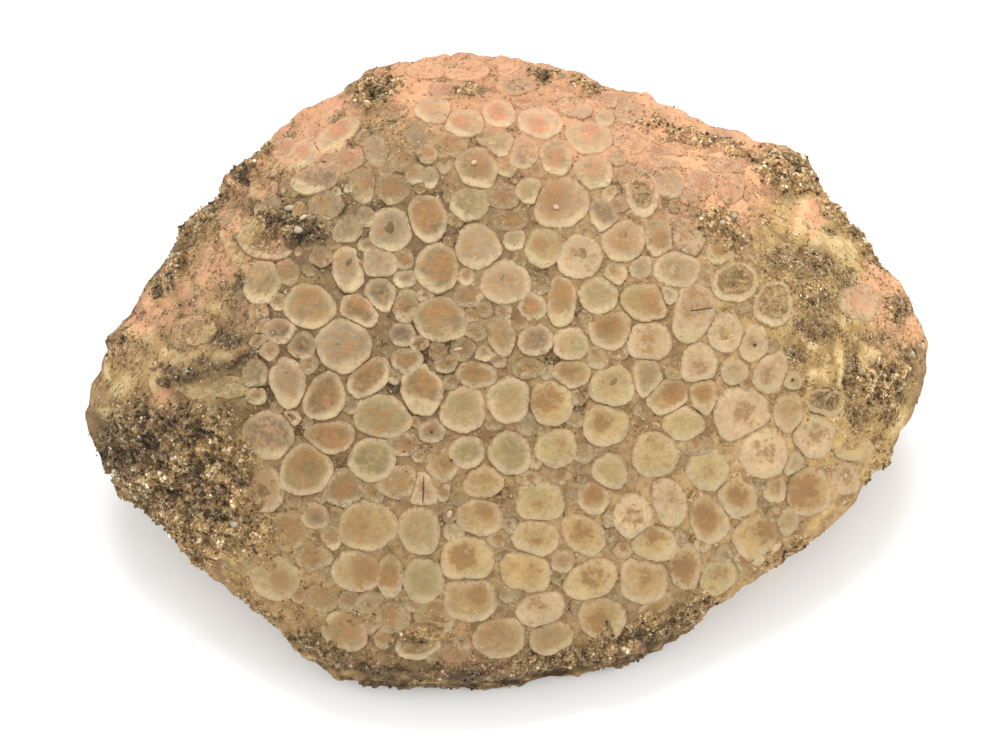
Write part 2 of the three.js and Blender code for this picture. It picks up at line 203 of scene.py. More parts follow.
# What lies on the face. Crust, pockets of sand, rough margins and the cream edges of worn bone are ovals
# [across, up, length, width, turn, strength], and stains are [across, up, radius, strength].
sand = {
    "patchEdge": (1.3, 0.65),
    # how far the outlines wander, in millimetres
    "stray": {"crust": 0.7, "pockets": 0.4, "rough": 1, "ridges": 0.3, "stains": 1.1, "cream": 0.35},
    "creamGrit": 0.2,
    "olivePaint": 0.85,
    "ridgeWidth": 1.4,
    # raised and rough
    "crust": [
        [-26.5, -6.3, 7.6, 8, -45, 1], [-23.2, -9.4, 10, 6.4, -38, 1], [-24.4, -4.1, 9, 3.4, 5, 0.9],
        [-21, -6.9, 5.4, 5, -30, 0.75], [-19.6, -10.9, 6, 4.4, -35, 0.62], [-27.6, -9.2, 4.4, 3.4, -40, 1],
        [-24, -12.2, 6.4, 2.4, -36, 0.9], [-24.4, -0.3, 3, 1.2, 0, 0.9], [-24.4, 7.3, 5.6, 1.7, 62, 0.85],
        [-22.8, 11.4, 4.8, 2.4, 48, 0.9], [-19.4, 15, 5.6, 2.2, 42, 0.9], [-28.5, 1.8, 3, 1.6, 60, 0.75],
        [-15.4, 10.5, 5, 2.1, -12, 1], [-9.6, 20.4, 4.2, 2.2, 20, 0.85], [-2.6, 20.5, 2.6, 1.2, 0, 0.7],
        [2.8, 21.8, 2.8, 1, -8, 0.75], [5.6, 20.9, 2.6, 1, -15, 0.75], [12.2, 17.5, 6, 1, -20, 0.62],
        [16.4, 16.3, 4.6, 0.9, -12, 0.75], [20.4, 14.6, 5, 2.9, -15, 1], [25.4, 10.8, 7.6, 2, -52, 0.9],
        [15.4, 10.8, 3.4, 2.3, -10, 0.7], [16.7, 9.6, 1.8, 1.6, 0, 0.6], [22.7, 7.9, 2.4, 2, 0, 0.8],
        [22.2, 5.3, 2.4, 1.9, 0, 0.8], [27.2, -0.5, 4.6, 3, 0, 0.85], [27.7, -2.8, 2, 2, 0, 0.8],
        [28.6, 4.8, 2, 1.5, 0, 0.7], [29.7, 1.3, 1.5, 2, 0, 0.8], [27.2, -6.9, 3, 1.2, 50, 0.75],
        [-13.5, -20.6, 4.4, 1.8, -25, 1], [-9, -21.8, 6, 1.3, -3, 0.72], [-4, -22.1, 6, 1.2, 0, 0.68],
        [1.5, -21.6, 6.6, 1.2, 6, 0.75], [5, -21, 3.6, 1.2, 15, 0.9], [9.6, -19.3, 6, 2.6, 20, 1],
        [13.2, -17.6, 5, 1.7, 34, 1], [14, -17.4, 5, 1.2, 30, 0.65], [-6.8, -19.2, 3.4, 1.1, 0, 0.6],
        [-18.4, -17.1, 5, 0.8, -36, 0.45], [20.4, -13.4, 5, 0.9, 36, 0.6],
    ],
    # between the crowns, level with the bone
    "pockets": [
        [-10.5, 17.3, 3.6, 1, 25, 1], [-8.6, 18.3, 1.6, 0.8, 20, 0.9], [-6.4, 15.5, 1.4, 1.2, 0, 0.8],
        [-10.7, 9.6, 1.2, 1.2, 0, 1], [-12.2, 12, 2, 1, 20, 0.8], [-5, 9.6, 1.6, 1, 0, 0.8],
        [-3.4, 10.9, 1, 1.6, 0, 0.7], [-9.4, 12.2, 2, 0.8, 0, 0.8], [-5.4, 12.9, 2.6, 0.8, -10, 0.6],
        [-13.6, 12.9, 1.6, 0.7, 30, 0.7], [-21, 2.4, 9, 6, 0, 0.3], [-19.5, 8, 7, 8, 0, 0.3],
        [-20.5, 12, 6, 5, 30, 0.42], [-25.5, 2, 5, 5, 0, 0.36], [-28, -0.5, 3, 5, 0, 0.45],
        [-15.5, 12.5, 6, 5, 0, 0.36], [25.5, -1.5, 7, 8, 0, 0.3], [14.5, 10.5, 7, 5, 0, 0.36],
        [-13, -20, 8, 3, -20, 0.25], [-18, -14.5, 6, 4, -30, 0.2], [22, 9, 6, 5, 0, 0.2],
        [-9, 18, 6, 3, 20, 0.35], [-6.3, 1, 1.9, 1.9, 0, 1], [-4.2, 2.2, 2.5, 1.2, 10, 1],
        [5.5, 4.3, 1.7, 1.6, 0, 1], [5.3, -2, 1.4, 2.4, 0, 1], [3.1, 0.8, 1.2, 1.9, 0, 1],
        [-8.3, -1, 1.4, 1.9, 0, 1], [-11.5, -2.5, 1.2, 1.5, 0, 0.7], [-15.1, -4.3, 1.2, 1.4, 0, 0.8],
        [-12.2, -6.8, 1.8, 1, 0, 0.7], [-10.4, -9, 1.3, 1.3, 0, 0.7], [-4.3, -9, 1.3, 1.2, 0, 0.7],
        [-0.5, -9.2, 1.2, 1.2, 0, 0.6], [-7.2, -17, 1.6, 1.2, 0, 0.6], [3.6, -15.3, 1.4, 1.2, 0, 0.7],
        [0.4, -12.8, 1.2, 1, 0, 0.6], [7.4, -12, 1.2, 1.4, 0, 0.6], [13.3, -9, 1.3, 1.2, 0, 0.6],
        [2.5, 7, 1.4, 1.2, 0, 0.6], [0.7, 14, 1.6, 1.2, 0, 0.6], [13.6, -3.1, 1.2, 1.2, 0, 0.5],
        [-16, 12, 2.6, 1.4, 0, 0.7], [-18.2, 12.2, 2, 1.5, 0, 0.7], [-12.1, 13.3, 2.6, 1.2, -10, 0.7],
        [-13.7, 7.8, 2, 1.6, 0, 0.65], [-19.5, 6.5, 1.9, 1.5, 0, 0.6], [-17.9, 9.2, 2.2, 1.2, 0, 0.7],
        [-20.5, 2.5, 3.4, 1.7, 0, 0.8], [-18.8, 1, 2.2, 1.4, 0, 0.7], [-18, -1.8, 2, 2, 0, 0.7],
        [-10.6, 17.7, 3, 1, 20, 0.7], [-11.4, 16.9, 2.2, 0.9, 0, 0.6], [0.6, 21, 1.8, 1, 0, 0.6],
        [-5.8, 15.8, 1.6, 1.1, 0, 0.6], [-2.2, 17, 1.8, 0.9, 0, 0.6], [8, 13.3, 1.4, 1.4, 0, 0.7],
        [10.3, 14.5, 1.9, 1, 0, 0.6], [12, 12.3, 1.8, 1.2, 0, 0.6], [21.4, 5.6, 6.4, 6.6, 0, 0.45],
        [24.8, 7, 1.6, 1.6, 0, 0.8], [25.5, -3.3, 2, 1.6, 0, 0.8], [23.2, -2.2, 1.6, 1.2, 0, 0.8],
        [27.4, -5.2, 1.6, 1.2, 0, 0.7], [9.8, 13, 1.7, 1.5, 90, 0.9], [25.4, 0, 1.2, 3.4, 0, 1],
        [16.9, 6.8, 1.8, 1.5, 0, 0.7], [22.4, 7.9, 3.4, 2.2, 0, 1], [20, 8.4, 2.4, 1.8, 0, 1],
        [24.9, 6.9, 1.7, 1.6, 0, 1], [22.7, 5.3, 2.1, 2, 0, 1], [22.8, 3.1, 3.4, 1.6, 0, 1],
        [21, 1.2, 2.1, 1.6, 0, 1], [23.5, -1.8, 2.4, 1.2, 0, 1], [27.6, -2.6, 1.3, 2.2, 10, 1],
        [25.7, -3.2, 1.8, 2.2, 0, 1], [28.5, -1.7, 1.6, 1.8, 0, 0.9], [27.2, 2.6, 2, 1, 0, 0.9],
        [25.4, 5.1, 1, 0.8, 0, 0.8], [26.2, 5.2, 0.8, 0.9, 0, 0.8], [27.2, 0, 2, 2, 0, 0.9],
        [28.7, 4.6, 2.2, 2.2, 0, 0.9], [-24, -0.3, 3.6, 1.1, 0, 1], [-20.7, 2.6, 2.4, 1.6, 0, 0.9],
        [-19.6, 6.4, 1.3, 1.1, 0, 1], [-18, 2.5, 1.3, 4, 0, 0.8], [-17.8, -1.6, 1.2, 2.4, 0, 0.9],
        [-19.2, 0.9, 1.8, 1, 0, 0.95], [-22.5, 0.9, 1.8, 1, 0, 0.8], [-17.8, 9.3, 1.6, 0.9, -20, 0.9],
        [-12.6, 18.5, 1.8, 0.6, 30, 0.9], [-10.9, 17.3, 2.2, 1.4, 30, 0.8], [-18.2, 12, 2, 0.9, 0, 0.9],
        [-17.4, 14.4, 2.4, 1.4, 40, 0.7], [-10.6, 9.8, 1, 1.2, 0, 0.8], [19.6, 5, 1.6, 1.6, 0, 0.7],
        [-16.4, -8.5, 1, 3, 0, 0.5], [-13.4, 0.3, 1.2, 1.6, 0, 0.5],
    ],
    # margins where the bone is rough and dusted with sand
    "rough": [
        [-23.5, 3, 15, 19, 0, 0.38], [-18.5, 13, 13, 9, 40, 0.42], [25.5, 2.5, 11, 21, 0, 0.4],
        [19, 11, 14, 9, -40, 0.28], [-15, -18, 16, 8, -28, 0.3], [-5, 21, 14, 5, 0, 0.2],
        [10, 18, 16, 4, -18, 0.24], [4, -21, 18, 3, 5, 0.4],
    ],
    "pink": [
        [-10, -20.5, 4, 0.4], [-3, -21, 4, 0.4], [-15, -17.5, 4, 0.35], [-24, 2.5, 5, 0.4],
        [-20, 3, 4, 0.35], [-6, 22.4, 5, 0.9], [-1, 22, 6, 1], [4, 20, 6, 0.85], [6, 17.3, 4, 0.8],
        [12, 17.5, 5.5, 0.9], [16.5, 15, 4.5, 0.95], [-15, 18, 4, 0.9], [-12, 17, 3.4, 0.6],
        [28, 6.3, 2.2, 0.9], [22.7, 11.4, 1.6, 0.9], [-26.2, 4.6, 2, 0.6], [-23.3, 5.2, 2.4, 0.6],
        [28, 3.5, 2.2, 0.6], [14, 13.7, 3.4, 0.75], [1.5, 17.8, 5, 0.65], [-3.5, 18.6, 4, 0.5],
        [9, 13, 4, 0.35], [-20, 14.5, 3.4, 0.6], [12, 9.5, 5, 0.35], [17, 1, 4, 0.25], [21, -4, 4, 0.25],
        [-17.3, -4.6, 2, 0.4], [-19.3, 4.4, 1.3, 0.6], [-25, -1.1, 1.4, 0.7], [-27, 3.2, 1.3, 1.1],
        [-17.2, 8.6, 1.6, 0.7], [-18, 14.5, 2.2, 0.6], [-24.8, 3.6, 1.4, 0.7], [-12, 15.3, 1.6, 0.5],
        [-20.2, 10.9, 1.6, 0.8], [-21.6, 8.3, 2, 0.75], [-23, 4.8, 1.2, 0.75], [-14.5, 18.6, 1.6, 1.1],
        [-12.6, 19.7, 1.4, 1], [-26.4, 5.4, 1.5, 0.85], [-27.6, 4, 1, 1.1], [-24.9, 7.6, 1.2, 0.9],
        [-21.6, 7.2, 1.5, 0.9], [-18.6, 7.4, 1.2, 0.6], [27.7, 6.7, 1.6, 1.15], [26.5, 5.3, 1.6, 0.9],
        [29.8, 3, 1.2, 0.9], [22.9, 11, 1.1, 1.2], [1, 19.9, 1.2, 1.2], [2.9, 19.4, 1.3, 1.1],
        [9.6, 16.4, 1.6, 1.1], [-16.3, 16.6, 1.4, 1.1],
    ],
    # olive where it is weak, cream where it is strong
    "olive": [
        [22, 3, 6, 0.65], [24, -2, 5, 0.65], [22.5, 7.5, 4, 0.65], [-24, 1.5, 4, 0.75],
        [-20.5, 6, 3, 0.55], [-22, -1, 3, 0.8], [-26.6, 1, 2.4, 0.85], [-21, 9.5, 2.6, 0.7],
        [-14, -18, 4, 0.75], [-9, -20.6, 3, 0.7], [21.2, 12.4, 1.7, 0.95], [20.4, 10.8, 1.8, 0.75],
        [23, 9.9, 1.3, 1.1], [24.7, 9.2, 1.3, 1.1], [25.4, 8, 1, 1], [26, 5, 1.8, 0.7],
        [26.3, 1.5, 1.3, 1.05], [28.9, -2.2, 1.4, 0.9], [28.3, -3.8, 1.2, 0.95], [26.8, -5.8, 1.3, 0.8],
        [24.3, -5, 1.8, 0.75], [24.3, -2.3, 1.5, 0.8], [24.1, 0, 1.2, 0.85], [21.9, 1.6, 1.3, 0.7],
        [22.6, -0.2, 1.2, 0.7], [26, -4, 4, 0.5], [-19.5, 9, 3.8, 0.6], [-18.7, 10.3, 1.8, 0.85],
        [-15, -16, 6.4, 0.55], [-12, -19, 4, 0.6], [-6, -20, 3.4, 0.5], [-27.5, 0, 3.4, 0.6],
        [-28.3, -1, 1.5, 0.9], [-20, -1.2, 2, 0.85], [-24.6, 1, 1.6, 0.8], [-22, 3, 4, 0.5],
        [-20, -6.5, 3, 0.4], [-17, -13, 2.6, 0.6], [-22.4, 10, 3, 0.45], [3, -22, 3, 0.45],
    ],
    "cream": [
        [-23.6, 0.9, 3, 0.7, 5, 0.94], [-22.3, -1.6, 4, 0.8, -8, 0.84], [-25.9, -0.6, 0.8, 2.2, 10, 0.84],
        [-21.4, 4.6, 3, 0.7, -25, 0.84], [-22.8, 6.4, 2.4, 0.7, 30, 0.75],
        [-20.4, 9.2, 0.8, 2.6, 25, 0.84], [-27.4, 2.8, 1.6, 0.8, 40, 0.84], [-18.6, 4, 0.7, 2.2, 0, 0.66],
        [-24.6, 0.9, 2.6, 0.7, -35, 0.94], [-20.7, 1, 2.4, 0.7, 8, 0.94],
        [-19.9, -1.4, 2.4, 0.7, 15, 0.94], [-19.3, 7.7, 0.7, 2, 20, 0.84], [-26.6, 2.6, 2, 0.8, -35, 0.84],
        [-28.3, -1, 1.8, 1.8, 0, 0.8], [-29.4, 0.3, 0.6, 1.8, -15, 0.94],
        [-17.6, 10.5, 3.8, 0.6, -25, 0.94], [-19.3, 9.7, 0.6, 1.6, 20, 0.75],
        [-18.4, 13, 1.6, 0.8, 0, 0.84], [-13.4, 11.2, 1.6, 0.5, -20, 0.9],
        [-29, -3.1, 1.8, 0.8, -20, 0.84], [-15.4, 15.2, 1.8, 0.6, 20, 0.75],
        [-12.5, 16.6, 3.4, 0.6, 35, 0.8], [-26, 5.6, 2.6, 0.6, 55, 0.75], [21.7, 11.2, 0.7, 3, -12, 1],
        [23.2, 9.7, 2.4, 0.6, -8, 1], [24.8, 9.1, 1.8, 1, -35, 1], [25.6, 8, 0.6, 1.8, 20, 0.95],
        [24.6, 4.7, 0.5, 2.4, -8, 1], [26.9, 1.3, 1.8, 0.6, 5, 1], [22.5, 1.9, 1.4, 0.6, 10, 1],
        [24.4, 0.1, 0.6, 3, 0, 0.95], [26.3, 0.2, 0.5, 2.8, 3, 0.95], [27, -2.6, 0.5, 2, 10, 0.95],
        [28.9, -2.9, 1.4, 1, 20, 0.9], [24.1, -3.4, 1.8, 0.6, -15, 0.85], [23, -0.3, 2, 1, 0, 0.8],
        [24.3, -2.7, 1, 0.6, 0, 0.8], [25.9, 3.6, 2.6, 0.5, -10, 0.85], [28.4, -4.6, 2.6, 0.7, 55, 0.9],
        [26.6, -7, 2.4, 0.6, 52, 0.8], [23.2, -10.6, 3, 0.5, 42, 0.6],
    ],
    # dark stain; the spots along the front lip are painted shade
    "dark": [
        [-19.3, 4.4, 1.2, 0.4], [-20.6, 0.2, 1, 0.5], [-16.8, 10.2, 0.8, 0.9], [-13.8, 10.8, 0.7, 0.8],
        [22.4, 7.9, 1.6, 0.7], [20, 8.4, 1.1, 0.6], [22.7, 5.3, 1, 0.75], [24.9, 6.9, 0.8, 0.75],
        [22.8, 3.1, 1.4, 0.7], [21, 1.2, 0.9, 0.75], [23.5, -1.8, 1, 0.7], [25.4, -0.3, 0.6, 0.5],
        [25.4, -1.4, 0.6, 0.5], [27.5, -2.9, 0.6, 0.8], [25.4, -3.1, 0.7, 0.7], [26, -3.8, 0.6, 0.7],
        [28.5, -1.8, 0.8, 0.5], [28.7, 4.6, 1.1, 0.4], [18, 12.4, 1.2, 0.3], [-27.4, -5, 3, 1.15],
        [-25.2, -4.4, 1.9, 1.05], [-27, -8.2, 2.6, 0.5], [-24.3, -0.3, 1.2, 0.9], [-23, -4.6, 1.6, 0.35],
        [-15.4, 10.5, 2, 0.8], [-9.6, 21, 2.2, 0.4], [20.6, 14.6, 2.8, 0.45], [3, -22, 2.4, 0.3],
        [-5.8, 1.3, 2, 0.35], [5.2, -2, 1, 0.35], [-1, 0.8, 1.4, 0.25], [9.9, -19.6, 3, 0.6],
        [13, -18, 2.4, 0.55], [-13, -21, 2.4, 0.5], [-7, -22, 3, 0.35], [-25.8, -11.4, 1.6, 0.35],
        [-4, 2.2, 1.4, 0.6], [25, 11.5, 2.4, 0.35],
    ],
}


def coverAt(across, up, patches):
    cover = np.zeros_like(across, float)
    for patch in patches:
        within = smoothStep(*sand["patchEdge"], ovalDistance(across, up, patch))
        cover = np.maximum(cover, patch[5] * within)
    return cover


def stainAt(across, up, spots):
    stain = np.zeros_like(across, float)
    for x, y, radius, strength in spots:
        stain = np.maximum(stain, strength * softSpot(across, up, x, y, radius))
    return stain


def fetched(collection, field, width=3):
    values = np.empty(len(collection) * width, np.float32)
    collection.foreach_get(field, values)
    return values.reshape(-1, width).astype(float)


def setPoints(mesh, points):
    mesh.vertices.foreach_set("co", points.astype(np.float32).ravel())
    mesh.update()


def setColour(mesh, name, values):
    layer = mesh.attributes.new(name, "FLOAT_COLOR", "POINT")
    layer.data.foreach_set("color", values.astype(np.float32).ravel())


def meshFrom(makeShape):
    # faces and their first corners are sorted, because bmesh's order of them changes between runs
    shape = bmesh.new()
    makeShape(shape)
    bmesh.ops.recalc_face_normals(shape, faces=shape.faces)
    shape.verts.index_update()
    faces = []
    for face in shape.faces:
        corners = [vertex.index for vertex in face.verts]
        start = corners.index(min(corners))
        faces.append(corners[start:] + corners[:start])
    mesh = bpy.data.meshes.new("shape")
    mesh.from_pydata([vertex.co.copy() for vertex in shape.verts], [], sorted(faces))
    mesh.update()
    shape.free()
    return mesh


def placed(name, data):
    thing = bpy.data.objects.new(name, data)
    bpy.context.scene.collection.objects.link(thing)
    return thing


def addPiece(name, mesh, material, smooth=True):
    mesh.name = name
    mesh.materials.append(material)
    mesh.polygons.foreach_set("use_smooth", [smooth] * len(mesh.polygons))
    piece = placed(name, mesh)
    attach(piece, "root")
    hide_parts("tooth_plate")
    return piece


class Wire:
    # one output of a node; sums and products of wires and numbers add Math nodes

    def __init__(self, graph, socket):
        self.graph = graph
        self.socket = socket

    def maths(self, operation, first, second):
        return self.graph.node("ShaderNodeMath", {"operation": operation}, {0: first, 1: second})

    def __add__(self, other):
        return self.maths("ADD", self, other)

    def __sub__(self, other):
        return self.maths("SUBTRACT", self, other)

    def __mul__(self, other):
        return self.maths("MULTIPLY", self, other)

    def __rsub__(self, other):
        return self.maths("SUBTRACT", other, self)

    __radd__ = __add__
    __rmul__ = __mul__


class Finish:
    # a material and the few kinds of node that the plate's finishes are made of

    def __init__(self, name):
        self.material = bpy.data.materials.new(name)
        self.material.use_nodes = True
        self.tree = self.material.node_tree
        self.tree.nodes.clear()

    def node(self, kind, settings, inputs, output=0):
        made = self.tree.nodes.new(kind)
        for key, value in settings.items():
            if key == "stops":
                ramp = made.color_ramp.elements
                while len(ramp) < len(value):
                    ramp.new(0.5)
                for stop, (position, colour) in zip(ramp, value):
                    stop.position = position
                    stop.color = (*colour, 1)
            else:
                setattr(made, key, value)
        for key, value in inputs.items():
            socket = made.inputs[key]
            if isinstance(value, Wire):
                self.tree.links.new(value.socket, socket)
            else:
                socket.default_value = value
        return None if output is None else Wire(self, made.outputs[output])

    def place(self):
        return self.node("ShaderNodeTexCoord", {}, {}, "Object")

    def attribute(self, name, output="Color"):
        return self.node("ShaderNodeAttribute", {"attribute_name": name}, {}, output)

    def parts(self, colour):
        split = self.node("ShaderNodeSeparateColor", {}, {"Color": colour}).socket.node
        return [Wire(self, socket) for socket in split.outputs]

    def cloud(self, size, detail, rough):
        inputs = {"Vector": self.place(), "Scale": 1 / (size * mm), "Detail": detail, "Roughness": rough}
        return self.node("ShaderNodeTexNoise", {}, inputs)

    def cells(self, size):
        inputs = {"Vector": self.place(), "Scale": 1 / (size * mm), "Randomness": 1.0}
        return self.node("ShaderNodeTexVoronoi", {"feature": "F1"}, inputs, "Color")

    def step(self, value, low, high, fromValue=0.0, toValue=1.0):
        inputs = {0: value, 1: low, 2: high, 3: fromValue, 4: toValue}
        return self.node("ShaderNodeMapRange", {"interpolation_type": "SMOOTHSTEP"}, inputs)

    def ramp(self, value, stops):
        return self.node("ShaderNodeValToRGB", {"stops": stops}, {"Fac": value})

    def mix(self, factor, first, second, blend="MIX"):
        settings = {"data_type": "RGBA", "blend_type": blend}
        first, second = [c if isinstance(c, Wire) else (*c, 1) for c in (first, second)]
        return self.node("ShaderNodeMix", settings, {0: factor, 6: first, 7: second}, 2)

    def layer(self, colour, over, value, low, high, share=1.0):
        # lays a second colour over the first, the more the value goes from low to high
        return self.mix(self.step(value, low, high, 0.0, share), colour, over)

    def shade(self, colour, value):
        # darkens or lightens a colour by a factor that varies
        grey = self.node("ShaderNodeCombineColor", {}, {"Red": value, "Green": value, "Blue": value})
        return self.mix(1.0, colour, grey, "MULTIPLY")

    def bump(self, height, depth):
        return self.node("ShaderNodeBump", {}, {"Height": height, "Distance": depth * mm, "Strength": 1.0})

    def surface(self, inputs):
        shader = self.node("ShaderNodeBsdfPrincipled", {}, inputs)
        self.node("ShaderNodeOutputMaterial", {}, {"Surface": shader}, None)
        return self.material


# How bright the studio light makes a white surface, for picking surface colours.
lightLevel = 1.49


def seenAs(red, green, blue):
    # the surface colour that shows as these screen values, from 0 to 255, under the studio light
    return tuple(((c / 255 + 0.055) / 1.055) ** 2.4 / lightLevel for c in (red, green, blue))


# Bone and sandy matrix. Both the bone and the crowns that are buried in it are coloured from the attribute
# "cover": how much sand lies there, then pink, yellow, and dark, which is dark stain together with painted
# shade and painted light.
boneLooks = {
    "bone": seenAs(198, 163, 113),
    "boneDeep": seenAs(153, 118, 76),
    "pink": seenAs(248, 184, 138),
    "salmon": seenAs(232, 142, 100),
    "olive": seenAs(203, 169, 104),
    "cream": seenAs(231, 204, 152),
    "sandStops": [
        (0.0, seenAs(66, 45, 25)), (0.25, seenAs(122, 89, 52)), (0.5, seenAs(180, 141, 87)),
        (0.75, seenAs(222, 189, 132)), (1.0, seenAs(246, 228, 188)),
    ],
    # size in millimetres, detail, roughness
    "clouds": {
        "broad": (3.2, 4, 0.55), "middling": (0.9, 5, 0.65), "fine": (0.15, 3, 0.7),
        "clumped": (0.5, 2, 0.55),
    },
    "sandSize": 0.19,
    "raggedness": 0.9,
    # shares of broad and middling clouds, then where deep bone ends and pale bone begins
    "patchy": (0.35, 0.65, 0.4, 0.6),
    # stain, colour, how ragged, where it begins and is full, how much it covers
    "stains": [
        ("yellow", "olive", 2.0, 0.05, 0.6, 0.85), ("pink", "pink", 1.0, 0.12, 0.75, 0.9),
        ("pink", "salmon", 2.2, 0.95, 1.4, 0.7), ("yellow", "cream", 2.8, 0.6, 1.05, 0.8),
    ],
    "clumps": (0.3, 0.7),
    # what each grain, clump and speck has in the sand's tone
    "sandTone": (0.45, 0.4, 0.15),
    "sandRagged": 1.1,
    "sandShare": (0.05, 0.75, 0.08, 1.0),
    "sandOver": (-0.1, 0.1, 0.85),
    # how much the dark channel, dark stain with painted shade, takes away, and how ragged it is
    "darken": (0.55, 0.5),
    # light and dark specks on sand, and on bone
    "specks": (0.6, 0.4),
    "height": (0.4, 0.5, 0.25),
    "roughCloud": (0.9, 4, 0.55),
    "roughness": (0.3, 0.7, 0.6, 0.85),
    "bump": 0.25,
    "specular": 0.35,
}


def boneLook(finish):
    # the colour of bone and sand, and their fine height
    looks = boneLooks
    cover, pink, yellow = finish.parts(finish.attribute("cover"))
    dark = finish.attribute("cover", "Alpha")
    broad, middling, fine, clumped = [finish.cloud(*cloud) for cloud in looks["clouds"].values()]
    pick, chance, _ = finish.parts(finish.cells(looks["sandSize"]))
    ragged = (middling - 0.5) * looks["raggedness"]
    broadShare, middlingShare, low, high = looks["patchy"]
    patchy = broad * broadShare + middling * middlingShare
    bone = finish.layer(looks["boneDeep"], looks["bone"], patchy, low, high)
    for stain, colour, howRagged, low, high, share in looks["stains"]:
        strength = yellow if stain == "yellow" else pink
        bone = finish.layer(bone, looks[colour], strength + ragged * howRagged, low, high, share)
    ofGrain, ofClump, ofSpeck = looks["sandTone"]
    tone = pick * ofGrain + finish.step(clumped, *looks["clumps"]) * ofClump + fine * ofSpeck
    sandShare = finish.step(cover + ragged * looks["sandRagged"], *looks["sandShare"])
    sandColour = finish.ramp(tone, looks["sandStops"])
    colour = finish.layer(bone, sandColour, sandShare - chance, *looks["sandOver"])
    most, darkRagged = looks["darken"]
    # darkened by dark stain and painted shade, lightened by painted light
    colour = finish.shade(colour, 1.0 - (dark + ragged * darkRagged) * most)
    onSand, onBone = looks["specks"]
    specks = sandShare * onSand + onBone
    colour = finish.shade(colour, fine * specks + (1.0 - specks * 0.5))
    ofFine, ofMiddling, ofGrain = looks["height"]
    return colour, fine * ofFine + middling * ofMiddling + pick * sandShare * ofGrain


def boneFinish():
    finish = Finish("bone_and_sand")
    colour, height = boneLook(finish)
    return finish.surface({
        "Base Color": colour,
        "Roughness": finish.step(finish.cloud(*boneLooks["roughCloud"]), *boneLooks["roughness"]),
        "Normal": finish.bump(height, boneLooks["bump"]),
        "Specular IOR Level": boneLooks["specular"],
    })


# The broken surface of the bone. Heights are in millimetres.
relief = {
    # size of the lumps, seed, detail
    "noises": {
        "lumps": (2.6, 1, 3), "grit": (0.7, 2, 3), "wander": (1.6, 3, 3), "drift": (1.6, 4, 3),
        "clods": (1.5, 5, 4), "clumps": (0.6, 6, 2), "chance": (1.0, 8, 2),
    },
    "faceEnd": 3,
    # where the noise is enough, and the share of the lumps or of the drift in it
    "chancePockets": (0.12, 0.42, 0.25),
    "chanceDepth": (0.8, 0.5),
    "marginPockets": (-0.35, 0.3, 0.7),
    "wallCrust": (-0.25, 0.35, 0.4),
    # where the sand lies low enough for painted shade in its hollows
    "hollow": (0.15, -0.4, 0.4),
    # level, lumps, clods and clumps
    "crust": (0.4875, 0.375, 0.6, 0.36),
    "pocketDepth": 0.12,
    "ridgeHeight": 0.18,
    "boneSunk": 0.03,
    # everywhere, and where it is stronger
    "grit": (0.05, 0.1),
    "faceLumps": 0.12,
    # clods and clumps
    "margin": (0.5, 0.4),
    # lumps, clods, grit and clumps
    "wall": (0.3, 0.25, 0.18, 0.12),
    "rimRows": 7,
    "rimCalm": 0.55,
    "rimWander": 0.3,
    "baseCalm": (0.85, 1),
}

# What darkens and lightens the bone and the sand: dark stain and sand, and painted shade and painted light.
shading = {
    # painted shade on the wall and belly under the rim
    "wall": 0.25,
    # painted shade in the hollows of the sand
    "hollow": 0.85,
    "pocket": 0.35,
    "deepPocket": 0.4,
    "deep": (0.6, 0.95),
    # painted light on raised clumps and clods of sand, painted shade on low ones
    "clumps": 1.05,
    "clods": 0.6,
    # how much clumps and clods lighten and darken: on plain bone, and what sand adds, where it is painted
    # light and shade
    "mottleAndShade": (0.15, 0.85),
    "marginSand": 0.8,
    "crust": 0.3,
    "ridge": 0.35,
    "pink": 0.2,
    # how much the paler and darker places change the dark channel: painted light, tone, and painted shade
    # on the front lip
    "paler": 1.7,
    "range": (-0.75, 1.25),
    # pink on the wall and what the face adds, and how much ridges and pink clear away the sand
    "pinkWall": (0.75, 0.25),
    "cleared": (0.7, 0.3),
}


def boneGrid():
    # a ball whose rows run from the top of the face over the rim to the middle of the base; under the rim,
    # across and up are the place on the rim above
    face, wall, under, base = plate["rows"]
    rows = sum(plate["rows"])
    mesh = meshFrom(lambda shape: bmesh.ops.create_uvsphere(
        shape, u_segments=plate["columns"], v_segments=rows, radius=1))
    ball = fetched(mesh.vertices, "co")
    row = np.round(np.arccos(np.clip(ball[:, 2], -1, 1)) / math.pi * rows)
    direction = np.arctan2(ball[:, 1], ball[:, 0])
    reach = edgeReach(direction) * np.clip(row / face, 0, 1) ** plate["rowSpread"]
    return mesh, SimpleNamespace(
        direction=direction,
        across=plate["top"][0] + reach * np.cos(direction),
        up=plate["top"][1] + reach * np.sin(direction),
        pastRim=row - face,
        wall=np.clip((row - face) / wall, 0, 1),
        under=np.clip((row - face - wall) / under, 0, 1),
        base=np.clip((row - rows + base) / base, 0, 1),
    )


def bonePoints(at):
    # the face, and under its rim the wall, the belly and the base
    points = facePoint(at.across, at.up)
    turnUnder = at.under * math.pi / 2
    middle = np.array(plate["baseMiddle"])
    outward = points[:, :2] - middle
    long = np.linalg.norm(outward, axis=1)
    wallReach = long - towardsFront(at.direction, *plate["undercut"]) * plate["wallHeight"] * at.wall
    underReach = long * towardsFront(at.direction, *plate["baseReach"])
    reach = between((wallReach, underReach), 1 - np.cos(turnUnder)) * (1 - at.base)
    ripple, waves, start, twist = plate["wallRipple"]
    wave = np.sin(waves * at.direction + start + twist * at.under)
    reach = reach + ripple * wave * np.minimum(at.wall, 1 - at.under)
    height = (points[:, 2] - plate["wallHeight"] * at.wall) * (1 - np.sin(turnUnder))
    below = at.pastRim > 0
    points[below, :2] = (middle + outward * (reach / long)[:, None])[below]
    points[below, 2] = height[below]
    return points


def strayed(at, what):
    # the chart points, shifted so that outlines wander
    far = sand["stray"][what]
    return at.across + far * at.wander, at.up + far * at.drift


